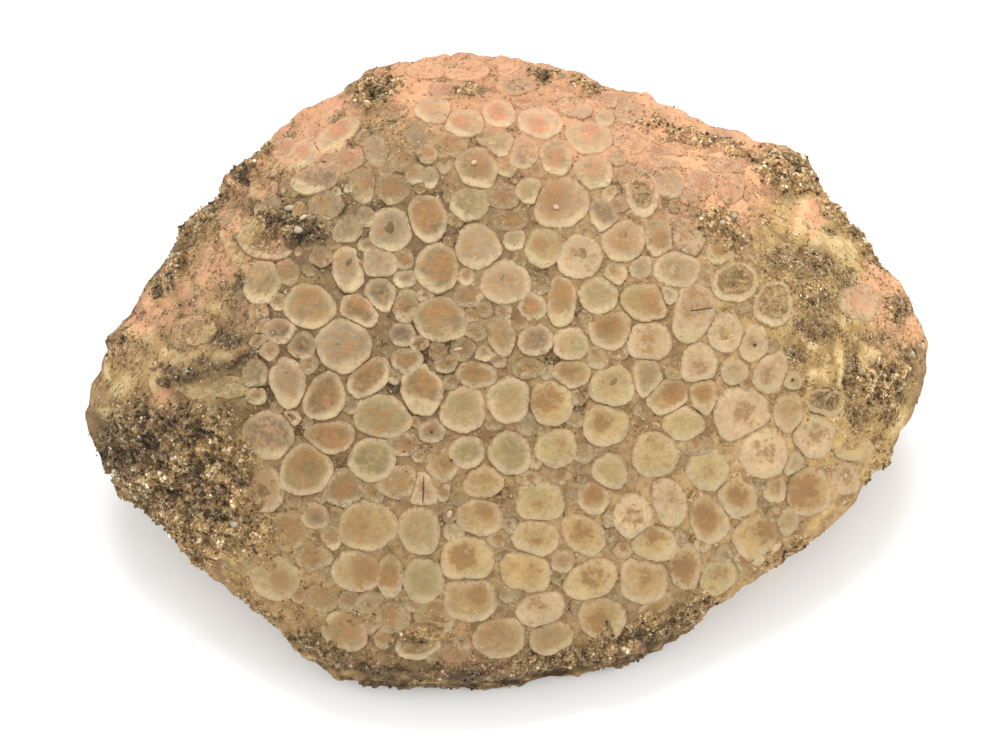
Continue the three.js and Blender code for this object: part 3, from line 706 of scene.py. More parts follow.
def spreadSand(at):
    # where crust, pockets of sand and rough margins lie
    at.onFace = 1 - np.clip(at.wall * relief["faceEnd"], 0, 1)
    at.crust = coverAt(*strayed(at, "crust"), sand["crust"])
    at.margin = coverAt(*strayed(at, "rough"), sand["rough"])
    low, high, share = relief["chancePockets"]
    most, everywhere = relief["chanceDepth"]
    byChance = most * smoothStep(low, high, at.chance + share * at.lumps) * (everywhere + at.margin)
    low, high, share = relief["marginPockets"]
    inMargin = at.margin * smoothStep(low, high, at.clumps + share * at.drift)
    pockets = coverAt(*strayed(at, "pockets"), sand["pockets"])
    at.pockets = np.maximum(np.maximum(pockets, byChance), inMargin)
    low, high, share = relief["wallCrust"]
    at.wallCrust = smoothStep(low, high, at.lumps + share * at.drift) * (1 - at.onFace)


def boneLift(at, ridgeOvals):
    # how far the surface stands out of the smooth block
    level, lumps, clods, clumps = relief["crust"]
    raised = at.crust * at.onFace * (level + lumps * at.lumps + clods * at.clods + clumps * at.clumps)
    raised = raised - relief["pocketDepth"] * at.pockets * at.onFace
    raised = raised + relief["ridgeHeight"] * coverAt(at.across, at.up, ridgeOvals) * at.onFace
    nearRim = np.exp(-((at.pastRim / relief["rimRows"]) ** 2))
    lift = raised * (1 - relief["rimCalm"] * nearRim) - relief["boneSunk"] * at.onFace
    everywhere, onSand = relief["grit"]
    lift = lift + at.grit * (everywhere + onSand * (at.crust + at.margin))
    lift = lift + relief["faceLumps"] * at.lumps * at.onFace
    clods, clumps = relief["margin"]
    lift = lift + at.margin * at.onFace * (clods * at.clods + clumps * at.clumps)
    lumps, clods, grit, clumps = relief["wall"]
    onWall = lumps * at.lumps + clods * at.clods + grit * at.grit + clumps * at.clumps
    lift = lift + (1 - at.onFace) * onWall + relief["rimWander"] * nearRim * at.wander
    return lift * (1 - smoothStep(*relief["baseCalm"], at.under))


def paintBone(at, ridgeOvals):
    # the attribute "cover": sand, pink, yellow and dark, where dark holds dark stain with painted shade and
    # painted light
    onWall, onFace = shading["pinkWall"]
    at.pink = stainAt(*strayed(at, "stains"), sand["pink"]) * (onWall + onFace * at.onFace)
    ridges = coverAt(*strayed(at, "ridges"), ridgeOvals)
    byRidges, byPink = shading["cleared"]
    pockets = at.pockets * (1 - byRidges * ridges - byPink * np.minimum(at.pink, 1))
    at.cover = np.maximum(np.maximum(at.crust, pockets) * at.onFace, at.wallCrust)
    creamX, creamY = [place + sand["creamGrit"] * at.grit for place in strayed(at, "cream")]
    olive = sand["olivePaint"] * stainAt(*strayed(at, "stains"), sand["olive"])
    yellow = np.maximum(olive, coverAt(creamX, creamY, ridgeOvals))

    sandy = np.maximum(at.crust, 1 - at.onFace)
    # painted shade in the low hollows of the crust and on the wall
    low, high, share = relief["hollow"]
    hollow = smoothStep(low, high, at.clods + share * at.lumps)
    # dark stain on the face, painted shade on the wall under the rim
    dark = stainAt(at.across, at.up, sand["dark"]) * at.onFace + shading["wall"] * (1 - at.onFace)
    dark = np.maximum(dark, shading["hollow"] * hollow * sandy)
    deep = smoothStep(*shading["deep"], coverAt(*strayed(at, "ridges"), sand["pockets"]))
    inPocket = shading["pocket"] * at.pockets + shading["deepPocket"] * deep
    dark = np.maximum(dark, inPocket * at.onFace)
    # painted light on the raised clumps and clods of sand, painted shade between them
    onBone, onSand = shading["mottleAndShade"]
    mottle = onBone + onSand * np.maximum(sandy, shading["marginSand"] * at.margin)
    dark = dark - (shading["clumps"] * at.clumps + shading["clods"] * at.clods) * mottle
    dark = dark - (shading["crust"] * at.crust + shading["ridge"] * ridges) * at.onFace
    # painted light and tone from the paler and darker places, with painted shade along the front lip
    dark = dark - shading["pink"] * at.pink - shading["paler"] * (paintedLightAndTone(at.across, at.up) - 1)
    at.dark = np.clip(dark, *shading["range"])
    return np.stack([at.cover, at.pink, yellow, at.dark], 1)


def makeBone():
    mesh, at = boneGrid()
    points = bonePoints(at)
    setPoints(mesh, points)
    normals = fetched(mesh.vertex_normals, "vector")
    for name, settings in relief["noises"].items():
        setattr(at, name, roughness(points, *settings))
    spreadSand(at)
    ridgeOvals = [[x, y, length, sand["ridgeWidth"] * width, turn, strength]
                  for x, y, length, width, turn, strength in sand["cream"]]
    points = points + normals * boneLift(at, ridgeOvals)[:, None]
    points[:, 2] = np.maximum(points[:, 2], 0)
    setPoints(mesh, points * mm)
    setColour(mesh, "cover", paintBone(at, ridgeOvals))
    return addPiece("plate_bone", mesh, boneFinish()), at


# The crowns of the teeth, in millimetres. Tones are screen values.
crowns = {
    "around": {"tooth_crowns": 40, "faint_crowns": 24},
    "inner": [0, 0.3, 0.6, 0.85],
    # how far in from the outline, how high
    "shoulder": [(0.62, 1.0), (0.36, 0.93), (0.19, 0.76), (0.07, 0.48), (0, 0.2)],
    "foot": 0.5,
    "scale": 1.035,
    "gap": 0.02,
    "cornering": 14.0,
    "neighbours": 6,
    "sameDepth": 0.25,
    "leastReach": 0.4,
    "facing": 0.05,
    "jitter": 0.028,
    # how uneven the outline is: lobes, how far luck turns them, how high
    "lobes": [[(2, 6, 0.035), (3, 11, 0.03)], [(5, 17, 0.02), (7, 29, 0.01)]],
    "block": 3.2,
    "bean": (0.13, 0.6),
    "drop": (0.16, 4, 0.08),
    "smallSize": 1.2,
    "lift": 0.102,
    "buriedLift": 0.85,
    "luckyLift": (0.8, 1.2),
    "lengthLift": (0.45, 0.2),
    "dish": (0.5, 1.1),
    "dishEdge": (1.1, 0.1),
    "slope": (0.4, 0.7),
    "ringHollow": (0.6, 0.9),
    "seeds": {"luck": 7, "shapes": 11},
    # small faint crowns in the gaps
    "fillers": {
        "seed": 5, "tries": 3400, "most": 160, "across": (-29, 29), "up": (-21.5, 22.5), "size": (0.9, 2.6),
        "stretch": (0.75, 1), "buried": (0.36, 0.74), "furthest": 0.93, "crust": 0.3, "room": 0.2,
        "squeeze": 0.9, "tones": ["tan", "brown", "pink", "olive", "grey", "tan"],
    },
    # beyond these the bone is too worn for small faint crowns
    "worn": {"left": -18.5, "right": 20, "back": 17.5, "backRight": (16.5, 5)},
    "tones": {
        "pale": (199, 172, 114), "tan": (190, 156, 103), "brown": (183, 147, 90), "orange": (199, 163, 104),
        "pink": (202, 163, 115), "olive": (186, 155, 95), "green": (182, 158, 103), "grey": (178, 150, 104),
        "yellow": (206, 174, 114), "rose": (232, 184, 140), "peach": (208, 174, 130),
        "light": (220, 187, 138), "shade": (166, 134, 92),
    },
    # how strong the worn middle is; below nothing it is green, not brown
    "blush": {
        "pale": 0.38, "tan": 0.65, "brown": 0.9, "orange": 0.7, "pink": 0.6, "olive": 0.6, "green": -0.45,
        "grey": -0.35, "yellow": 0.75, "rose": 0.8, "peach": 0.5, "light": 0.45, "shade": 0.4,
    },
    "toneSpread": (0.92, 1.08),
    # how far the blush strays, how far up it lies, where it also paints shade on the crown's upper inner
    # slope, how wide, how sharp and how strong it is
    "blushStray": (0.16, 0.12),
    "blushSize": (0.42, 0.76),
    "blushEdge": 1.6,
    "blushStrength": (0.55, 1.5),
    # painted light: cream on the lower side of a crown, where its dish faces the light
    "cream": (0.4, 1.15),
    "creamLean": 0.5,
    # painted light: turn, strength, where the cream half on the lower side begins and is full
    "half": (-0.3, 0.8, 0.05, 0.45),
    # for a hollow ring: how it leans, how far in it starts, strength, where it begins and is full
    "ring": (0.22, 0.1, 0.95, 0.1, 0.5),
    # cream inside a ring, stronger on its lower side as painted light
    "ringCream": (0.7, 0.2, 0.35, 0.4),
    # the lower side of a crown, which takes the painted light and the painted groove shadow
    "side": (-0.3, 0.8),
    "ringed": (0.7, 1.2),
    "lessRinged": (0.4, 2, 14),
}

# The teeth: [across, up, length, width, turn, tone, buried, form]. Buried is 0 for a clean crown and 1 for
# one that is hardly seen through the sand. Form is left out for a plain round crown.
teeth = {
    "backMargin": [
        [-6, 22.2, 2.8, 1.3, 0, "rose", 0.9], [-3, 22.2, 3.4, 1.6, 0, "rose", 0.9],
        [0.2, 22.2, 1.8, 1.2, 0, "rose", 0.9], [0.8, 21.2, 3.2, 1.8, 0, "rose", 0.7],
        [-4.4, 20.7, 2.6, 1.4, 5, "rose", 0.7], [1.4, 19.8, 2.3, 1.1, -15, "orange", 0.7],
        [4, 20.8, 2.2, 1.2, -10, "rose", 0.8], [7.3, 20, 2.2, 1.2, -15, "rose", 0.7],
        [5, 19.4, 2.6, 1.5, -10, "rose", 0.5], [9, 19.1, 2.4, 1.9, -15, "rose", 0.7],
        [11.2, 18.9, 2.6, 1.2, -25, "rose", 0.8], [7.2, 18.6, 1.4, 1.3, 0, "olive", 0.3],
        [-12.5, 17.4, 4, 1.5, 35, "yellow", 0.2, "block"], [-14.9, 16, 2.7, 2, 35, "yellow", 0.2],
        [-5.4, 19.2, 2.8, 2, 0, "pink", 0.3], [-3.1, 18.2, 3, 2.1, -5, "orange", 0.1],
        [-0.6, 18.9, 2.4, 2.1, 0, "rose", 0.1], [2.4, 18.2, 3.4, 2.3, -5, "rose", 0],
        [6, 17.1, 3.4, 2.6, -10, "yellow", 0], [9.1, 16.9, 2.5, 2, -10, "rose", 0.8],
        [11.4, 15.9, 3, 1.9, -10, "rose", 0.7], [16.3, 15.1, 3.2, 1.4, -10, "rose", 0.7, "block"],
        [14.3, 13.8, 2.3, 2.1, 0, "rose", 0.7], [16.4, 13.5, 2.2, 2.3, 0, "rose", 0.8],
        [13.2, 16.4, 2.2, 1.4, -15, "rose", 0.85], [18.6, 13, 2.4, 1.8, 0, "rose", 0.85],
        [-17.2, 15.3, 2.4, 1.6, 38, "rose", 0.9], [-12.6, 13.1, 0.9, 0.8, 0, "grey", 0.3, "ring"],
        [-11.6, 13.4, 0.8, 0.7, 0, "grey", 0.3, "ring"], [-8.4, 19.2, 2.2, 1.4, 10, "rose", 0.8],
    ],
    "upperFace": [
        [-13.9, 14.1, 3.9, 2.3, 16, "shade", 0.25, "half"], [-11.7, 15.5, 2.8, 1.7, 10, "orange", 0.65],
        [-9.6, 16.2, 2.4, 2.1, 100, "grey", 0.55], [-6.6, 17.4, 2, 1.9, 0, "grey", 0.65],
        [-4, 16.6, 2.3, 1.8, 0, "orange", 0.55], [-0.4, 16.6, 2, 1.8, 0, "green", 0],
        [1.2, 16, 2.6, 2.2, 80, "shade", 0.1], [3.6, 15.7, 2.7, 2.4, 90, "olive", 0],
        [6.3, 14.6, 3, 2.5, -15, "tan", 0.1], [-7.7, 15.5, 2.2, 2, 0, "orange", 0.65],
        [-5.6, 14.2, 1.6, 1.3, 90, "grey", 0.35], [-2.2, 14.9, 3.4, 2.9, -20, "brown", 0, "drop"],
        [-13.3, 12.2, 2.7, 2.3, 20, "pink", 0.5], [-10.6, 13.6, 2.6, 2.1, 90, "orange", 0.55],
        [-8.4, 13.4, 2.7, 2.3, 0, "orange", 0.55], [-11.7, 10.4, 2.4, 2, 20, "grey", 0.4],
        [-5.8, 11.2, 3.4, 2.9, 105, "brown", 0], [-2.7, 12.2, 2.8, 2.6, 0, "green", 0],
        [1.7, 13.2, 2.1, 2, 0, "green", 0.1], [4, 12.3, 4.2, 3.6, 20, "pink", 0],
        [7.1, 11.4, 2.6, 2.1, 110, "shade", 0.1], [9.9, 13, 3.3, 2.5, 90, "tan", 0.1, "ring"],
        [11.9, 13.7, 2.4, 2, -30, "shade", 0.5], [11.1, 9.8, 2.8, 2.2, 100, "tan", 0.4],
        [13.3, 9.9, 3, 2.6, 80, "peach", 0.5], [-8.5, 10.3, 3.4, 3.1, 90, "light", 0.1],
        [-2.1, 9.1, 3.5, 3.2, 90, "light", 0], [0.6, 9.6, 1.8, 1.6, 0, "grey", 0.2],
        [2.7, 9, 3, 2.8, 0, "yellow", 0.4], [5.3, 8.3, 3.3, 3.3, 0, "light", 0],
        [8.5, 9.5, 3.3, 3.1, 80, "pink", 0.1], [7.9, 7.1, 1.8, 1.7, 0, "yellow", 0.1],
        [9.8, 7.6, 1.9, 1.6, 60, "grey", 0.2], [12.4, 7.5, 3.6, 2.8, 10, "grey", 0.3],
        [15.6, 8.7, 2.2, 1.8, 0, "yellow", 0.4], [-0.3, 12.8, 2.6, 2, 0, "pink", 0.6],
        [0.2, 11, 2.8, 1.6, 0, "brown", 0.6], [-15.8, 13.6, 2, 1.6, 20, "tan", 0.7],
    ],
    "middleLeft": [
        [-11.6, 7.5, 3.5, 2.1, 101, "light", 0, "block"], [-9.3, 8, 2.6, 2.3, 0, "light", 0.1, "block"],
        [-5.1, 7.5, 3.8, 3.1, 100, "orange", 0], [-0.1, 6.5, 3.6, 3.3, 20, "light", 0],
        [-9.2, 5.6, 2.6, 2.2, 120, "shade", 0.3], [-7.4, 4.8, 2.5, 2, 80, "yellow", 0.5],
        [-2.8, 5.6, 2.2, 2, 0, "brown", 0.5], [-10.8, 4.3, 3, 2.4, -30, "brown", 0.2],
        [-14.4, 4.7, 3.8, 3.3, -15, "yellow", 0], [-11.9, 1.9, 4.1, 4, 0, "light", 0],
        [-15, 1.9, 2.2, 2, 0, "shade", 0.4], [-7.6, 2.65, 2, 1.9, 0, "shade", 0.2],
        [-4.9, 3.8, 3.9, 3.4, 0, "orange", 0.15], [-0.4, 2.6, 3, 2.1, 90, "tan", 0.4],
        [-7.3, 0.8, 2.4, 1.9, 0, "brown", 0.4], [-4.4, 0.5, 1.9, 1.3, 0, "shade", 0.4],
        [-1.6, 1.3, 1.4, 1.2, 0, "grey", 0.4], [-2.3, -0.3, 3.3, 1.9, -5, "brown", 0.4],
        [-10.1, -0.5, 3.7, 2.5, 42, "brown", 0.1, "bean"], [-13.3, -1.9, 3.6, 3, 72, "brown", 0],
        [-16, -0.7, 3.7, 2.7, 112, "light", 0, "drop"], [-6.2, -1.4, 3.8, 3.1, 115, "brown", 0, "half"],
        [-3.2, -2.8, 3.4, 3.4, 0, "pale", 0], [0.1, -2.1, 3.4, 3.2, 90, "pale", 0],
        [-9.1, -3.3, 4.1, 3.3, -12, "pale", 0], [-12.9, -4.8, 3.8, 2.5, 0, "brown", 0.1, "bean"],
        [-17.4, -4.7, 3.8, 3.5, 0, "shade", 0.1], [-15.7, -3.4, 1.4, 1.1, -20, "rose", 0.1, "ring"],
        [-5.5, -4.4, 2.1, 1.7, 0, "shade", 0.4], [-7.6, -5.3, 2.6, 1.8, 0, "tan", 0.5],
        [-16.5, 2.9, 2.4, 1.9, 0, "shade", 0.3],
    ],
    "middleRight": [
        [4, 5.1, 4, 2.1, 91, "brown", 0], [1.8, 4.7, 2.3, 2.1, 90, "tan", 0.4],
        [6.7, 5.5, 2.9, 2.8, 0, "pale", 0], [10, 5, 3.6, 2.8, -25, "olive", 0.1],
        [11.8, 5.6, 1.5, 1.4, 0, "grey", 0.3], [13.6, 4.3, 4.4, 3.2, 78, "peach", 0, "bean"],
        [16.7, 6.5, 3.5, 2.9, 0, "tan", 0.2, "ring"], [19.5, 4.9, 3.3, 2.9, 90, "tan", 0.3, "ring"],
        [2.1, 2.3, 2.6, 2.4, 0, "shade", 0.3], [4.7, 2, 2.6, 2.6, 0, "pale", 0],
        [7.6, 3, 3.6, 2.7, 15, "brown", 0.1, "bean"], [10.3, 2.1, 3.5, 3, 0, "light", 0],
        [6.6, 1, 1.8, 1.6, 90, "tan", 0.4], [4.7, -0.2, 3, 2.1, 0, "brown", 0, "bean"],
        [1.5, 0.2, 2.4, 1.5, 0, "brown", 0.6], [7.7, -1.1, 3.4, 3.1, 0, "pale", 0],
        [3.25, -2.3, 3.5, 3.1, 105, "yellow", 0], [10.2, -0.4, 3, 2.4, 90, "grey", 0.1, "drop"],
        [11.7, -1.9, 3.1, 2.7, 30, "brown", 0.1], [14, 0.5, 3.1, 2.7, 90, "peach", 0],
        [16, 2.8, 3, 2.7, 90, "peach", 0], [14.4, -1.7, 2.9, 2.1, 90, "brown", 0.1, "drop"],
        [16.6, 0, 2.1, 1.9, 0, "grey", 0.2], [18, 2, 2.9, 2.1, 72, "peach", 0.1],
        [19.3, -0.1, 3.3, 2.3, 62, "peach", 0.1], [20.9, -0.7, 1.5, 1.4, 0, "green", 0.1],
        [12.8, -3.8, 3, 2.6, 0, "pale", 0.1], [17.1, -3, 4.3, 3.5, 15, "peach", 0, "block"],
        [20.6, -2.9, 2.9, 2.4, 90, "tan", 0.1, "drop"], [23.3, -2.3, 3, 2.2, 0, "tan", 0.3, "ring"],
        [26, 5, 3.4, 2.7, 0, "rose", 0.5], [8, 1.5, 1.8, 1.4, 0, "brown", 0.6],
    ],
    "lowerLeft": [
        [-9.8, -6.4, 3.4, 3.3, 0, "green", 0], [-2.9, -5.9, 2.5, 2.4, 0, "green", 0],
        [0.2, -6, 3.2, 3.1, 90, "green", 0], [-4.7, -6.8, 2.6, 2.4, 0, "brown", 0.4],
        [-1.7, -8.1, 3, 2.3, 10, "orange", 0.1], [-7.9, -8.1, 3, 2.5, 0, "tan", 0.4],
        [-6.2, -8.6, 2.5, 2.2, 90, "light", 0.2, "block"], [-14.7, -7.2, 3.9, 3.7, 0, "olive", 0],
        [-11.9, -8.5, 2.9, 2.8, 0, "brown", 0.5], [-17.8, -8.7, 3.5, 3.1, 90, "pink", 0.4],
        [-14, -10.6, 2, 1.9, 0, "shade", 0.1], [-10.2, -11.3, 4.2, 3.8, 15, "orange", 0],
        [-6.4, -11.6, 3.5, 3.1, 90, "pale", 0], [-2, -10.6, 3.5, 2.7, -15, "tan", 0, "bean"],
        [-3.9, -11.7, 1.6, 1.3, 0, "green", 0.4], [-15.9, -11.7, 3.2, 3, 0, "brown", 0.5],
        [-12.8, -12.1, 1.9, 1.6, 90, "brown", 0.4], [-14.2, -13.5, 2.8, 2.2, 0, "orange", 0.5],
        [-11, -14.6, 3.5, 3.1, 0, "yellow", 0], [-8.5, -15, 3.4, 1.9, 90, "brown", 0.4],
        [-6.1, -15.3, 3.1, 3.1, 0, "green", 0], [-2.9, -13.7, 3.9, 3, -8, "yellow", 0, "block"],
        [-2.7, -16.7, 3.9, 2.9, 0, "orange", 0, "block"], [-20.1, -13.3, 2.8, 2.4, 0, "tan", 0.6],
        [-16.9, -15.2, 3.7, 3.1, 10, "yellow", 0.3], [-11.9, -19.1, 3.6, 2.7, -22, "yellow", 0.22],
        [-10, -17, 2.2, 1.8, 0, "grey", 0.4], [-8.4, -18, 2.9, 2.4, 0, "yellow", 0.5],
        [-5.3, -17.9, 3.1, 2.6, 0, "orange", 0.4], [-6.6, -19.9, 3.2, 2.5, 5, "yellow", 0.2, "ring"],
        [-4.2, -20.8, 3.4, 1.6, 5, "tan", 0.6], [-0.5, -19.5, 3.8, 3, 5, "tan", 0],
        [-17.6, -12.6, 2.2, 2, 0, "olive", 0.7], [-13.6, -16.6, 2.6, 2, -20, "olive", 0.6],
    ],
    "lowerRight": [
        [3.6, -5.6, 3, 2.9, 0, "pale", 0], [7.2, -3.9, 3.5, 3, 0, "yellow", 0],
        [5.6, -6, 1.7, 1.5, 0, "shade", 0.5], [10.8, -6.1, 3.4, 3.3, 90, "pale", 0],
        [7.5, -7.3, 2.6, 2.6, 0, "green", 0], [14.7, -7.2, 3.2, 3.1, 0, "pale", 0],
        [18.8, -6, 3.8, 3.6, 90, "light", 0], [22.6, -4.7, 3.3, 3, 80, "light", 0.1],
        [25.4, -5.6, 3, 2.1, -10, "yellow", 0.3], [21, -6.8, 1.8, 1.5, 60, "grey", 0.2],
        [2.4, -9.5, 3.3, 2.8, 0, "pale", 0, "block"], [3.9, -7.7, 1.8, 1.2, 0, "brown", 0.5],
        [6.3, -9.2, 2.5, 2.4, 0, "brown", 0.1], [9.2, -10.6, 3.3, 2.8, 80, "light", 0],
        [11.9, -9.6, 3.5, 2.5, 112, "peach", 0.1], [14.8, -10.8, 3.5, 2.9, 115, "brown", 0.1],
        [16.9, -9.2, 3.2, 2.9, 0, "orange", 0, "drop"], [19.7, -8.7, 1.9, 1.8, 0, "tan", 0.2],
        [22.1, -8.8, 3.7, 3.3, 70, "brown", 0], [24.9, -7.9, 2.5, 2.1, 75, "peach", 0.2],
        [2.1, -12.2, 3.6, 2.6, 0, "yellow", 0, "half"], [5.6, -11.9, 3.5, 2.7, -25, "orange", 0.1, "bean"],
        [10.8, -12.6, 3.3, 2.7, 0, "yellow", 0, "bean"], [18.2, -12, 3.6, 3.2, 30, "orange", 0.1, "drop"],
        [20.6, -11, 2.3, 1.6, 65, "grey", 0.3], [4.1, -13.9, 1.9, 1.7, 0, "shade", 0.2],
        [1.4, -14.6, 3.8, 2.7, -5, "orange", 0, "block"], [6.1, -15.2, 4.2, 2.9, 25, "yellow", 0, "bean"],
        [10, -15.3, 3.5, 3.1, 0, "tan", 0, "block"], [13.1, -14.3, 3.5, 2.5, 90, "orange", 0.4],
        [15.5, -15, 3.2, 2.4, 30, "pale", 0.2], [2.5, -17.4, 3.5, 2.6, 15, "light", 0],
        [7, -18.1, 3.6, 3.1, 0, "orange", 0], [10.9, -17.2, 3, 1.5, 35, "brown", 0.3],
        [3.2, -19.5, 3.4, 2.4, 10, "tan", 0], [19.1, -13.3, 2.6, 1, 38, "light", 0.3],
        [8.5, -13.1, 1.4, 1.2, 0, "pink", 0.4], [0.2, -16.3, 1.6, 1.4, 0, "grey", 0.5],
        [13.8, -5.4, 2.6, 1.6, 0, "tan", 0.5], [1.6, -7.8, 2.2, 1.2, 0, "tan", 0.5],
        [17.2, -13.9, 1.8, 1.4, 30, "peach", 0.4],
    ],
    "leftFlank": [
        [-17.9, 6.5, 3.2, 2.7, 80, "olive", 0.35], [-17.8, 9.5, 4.4, 2.5, -20, "yellow", 0.45, "ring"],
        [-17.9, 13.4, 2.3, 1.5, 10, "yellow", 0.75], [-20.3, -1.2, 2.8, 1.6, 8, "light", 0.7],
        [-20.7, -5.5, 2.3, 1.7, -30, "yellow", 0.75], [-22.9, 3, 3, 2.2, 0, "tan", 0.75],
        [-22.6, 8.4, 2.4, 2, 40, "pink", 0.75], [-20.6, 11, 2, 1.6, 20, "shade", 0.75],
    ],
}

# Steps say where a layer begins and is full, and how much it covers.
enamelTones = {
    "rim": seenAs(226, 197, 155),
    "cream": seenAs(228, 201, 151),
    "brown": seenAs(170, 125, 70),
    "rose": seenAs(222, 150, 108),
    "speck": seenAs(184, 122, 70),
    "peach": seenAs(240, 192, 148),
    "green": seenAs(168, 144, 97),
    "yellow": seenAs(206, 180, 118),
    # painted shadow in the groove under a crown's lower edge
    "grooveShadow": seenAs(120, 92, 60),
}

enamel = {
    # size in millimetres, detail, roughness
    "clouds": {
        "broad": (1.7, 3, 0.55), "mottle": (1.0, 4, 0.6), "streak": (0.8, 3, 0.55), "blot": (0.45, 5, 0.65),
        "fine": (0.13, 3, 0.7), "speck": (0.24, 2, 0.55),
    },
    "ragged": (0.7, 0.25),
    "streak": (0.42, 0.64, 0.15),
    "mottle": (0.5, 0.66, 0.42),
    "blot": (0.5, 0.68, 0.35),
    "rim": (0.68, 0.12),
    # what the lower side, as painted light, the broad cloud and the whole rim have in its strength
    "rimShares": (0.3, 0.3, 0.4),
    "rimCloud": (0.4, 0.62),
    "creamRagged": 0.9,
    # painted light: cream on the lower side
    "cream": (0.25, 0.85, 0.8),
    "roseCore": (0.2, 0.8),
    "peach": (0.1, 0.9, 0.5),
    # how ragged blots and mottle make the worn middle
    "wornRagged": (2.6, 2.0),
    "worn": (0.15, 0.9, 0.9),
    "specks": (0.54, 0.66),
    "speckWorn": (0.3, 0.7, 0.0, 0.55),
    "yellow": 0.3,
    "yellowCream": (0.6, 1.0, 0.6),
    # how much mottle, the broad cloud and blots shade it, and the fine cloud
    "shade": (0.7, 0.5, 0.8),
    "fineShade": 0.2,
    "fade": (0.9, 0.26, 0.0, 0.6),
    # painted shadow in the groove under the lower edge
    "grooveShadow": (0.35, 0.1, -0.02, 0.05),
    "sandRagged": (1.5, 0.25),
    "sandy": (0.35, 0.75, 0.0, 0.9),
    "sandRough": 0.3,
    "roughness": (0.3, 0.8, 0.42, 0.65),
    "height": (0.6, 0.9, 0.25),
    "bump": 0.19,
    "specular": 0.4,
}


def crownFinish():
    finish = Finish("tooth_enamel")
    tones = enamelTones
    tone, warm = finish.attribute("crownTone"), finish.attribute("crownTone", "Alpha")
    edge, blush, cream = finish.parts(finish.attribute("crownPaint"))
    buried = finish.attribute("crownPaint", "Alpha")
    _, pink, yellow = finish.parts(finish.attribute("cover"))
    under, ringed, _ = finish.parts(finish.attribute("crownSide"))
    broad, mottle, streak, blot, fine, speck = [finish.cloud(*cloud) for cloud in enamel["clouds"].values()]
    bone, boneHeight = boneLook(finish)
    stray = blot - 0.5

    # clouded enamel and its pale rim, paler still on the lower side as painted light
    colour = finish.layer(tone, tones["green"], streak, *enamel["streak"])
    colour = finish.layer(colour, tones["brown"], mottle, *enamel["mottle"])
    colour = finish.layer(colour, tones["rim"], blot, *enamel["blot"])
    byBlot, byFine = enamel["ragged"]
    ragged = edge + stray * byBlot + (fine - 0.5) * byFine
    ofLitSide, ofBroad, always = enamel["rimShares"]
    strength = under * ofLitSide + finish.step(broad, *enamel["rimCloud"]) * ofBroad + always
    colour = finish.mix(finish.step(ragged, *enamel["rim"]) * strength * ringed, colour, tones["rim"])
    # painted light: cream on the crown's lower side
    colour = finish.layer(colour, tones["cream"], cream + stray * enamel["creamRagged"], *enamel["cream"])
    colour = finish.layer(colour, tones["peach"], pink + stray, *enamel["peach"])

    # the worn middle, whose upper part is also painted shade on the dish
    core = finish.mix(warm, tones["green"], tones["brown"])
    core = finish.layer(core, tones["rose"], pink, *enamel["roseCore"])
    byBlot, byMottle = enamel["wornRagged"]
    worn = blush + stray * byBlot + (mottle - 0.5) * byMottle
    colour = finish.layer(colour, core, worn, *enamel["worn"])
    specks = finish.step(speck, *enamel["specks"]) * finish.step(worn, *enamel["speckWorn"])
    colour = finish.mix(specks * warm, colour, tones["speck"])
    colour = finish.mix(yellow * enamel["yellow"], colour, tones["yellow"])
    colour = finish.layer(colour, boneLooks["cream"], yellow + stray, *enamel["yellowCream"])
    ofMottle, ofBroad, ofBlot = enamel["shade"]
    colour = finish.shade(colour, mottle * ofMottle + broad * ofBroad + blot * ofBlot)
    colour = finish.shade(colour, fine * enamel["fineShade"] + (1 - enamel["fineShade"] / 2))

    # the upper outline fades into the bone, the lower side has a thin groove painted dark as its shadow,
    # and sand lies over both
    howRagged, low, high, share = enamel["fade"]
    fade = finish.step(edge + stray * howRagged, low, high) * (1.0 - under) * share
    colour = finish.mix(fade, colour, bone)
    howRagged, low, high, share = enamel["grooveShadow"]
    grooveShadow = finish.step(edge + stray * howRagged, low, high) * under * share * (1.0 - buried)
    colour = finish.mix(grooveShadow, colour, tones["grooveShadow"])
    byBlot, byEdge = enamel["sandRagged"]
    sandy = finish.step(buried + stray * byBlot - edge * byEdge, *enamel["sandy"])
    ofMottle, ofBlot, ofFine = enamel["height"]
    height = mottle * ofMottle + blot * ofBlot + fine * ofFine + boneHeight * sandy
    return finish.surface({
        "Base Color": finish.mix(sandy, colour, bone),
        "Roughness": finish.step(fine + sandy * enamel["sandRough"], *enamel["roughness"]),
        "Normal": finish.bump(height, enamel["bump"]),
        "Specular IOR Level": enamel["specular"],
    })


def crownTemplate(shape, around):
    # half a profile, spun: x is the ring's number over the count of rings, and the last point is the foot
    count = len(crowns["inner"]) + len(crowns["shoulder"]) - 1
    line = [shape.verts.new((ring / count, 0, 0)) for ring in range(count + 1)]
    line.append(shape.verts.new((1, 0, -1)))
    edges = [shape.edges.new(pair) for pair in zip(line, line[1:])]
    bmesh.ops.spin(shape, geom=line + edges, cent=(0, 0, 0), axis=(0, 0, 1), angle=2 * math.pi,
                   steps=around, use_merge=True)
    bmesh.ops.remove_doubles(shape, verts=shape.verts, dist=1e-5)
    rim = [edge for edge in shape.edges if edge.is_boundary]
    bmesh.ops.contextual_create(shape, geom=rim)


def joinCopies(template, copies):
    # one mesh of many copies of a template; copies holds each copy's points
    corners = [list(polygon.vertices) for polygon in template.polygons]
    count = copies.shape[1]
    faces = [[i * count + corner for corner in face] for i in range(copies.shape[0]) for face in corners]
    mesh = bpy.data.meshes.new("copies")
    mesh.from_pydata(copies.reshape(-1, 3), [], faces)
    mesh.update()
    bpy.data.meshes.remove(template)
    return mesh


def ovalReach(crown, angle):
    # from the middle of a crown to its outline, for a plain oval
    half, beside = crown["length"] / 2, crown["width"] / 2
    turned = angle - crown["turn"]
    return half * beside / np.hypot(beside * np.cos(turned), half * np.sin(turned))


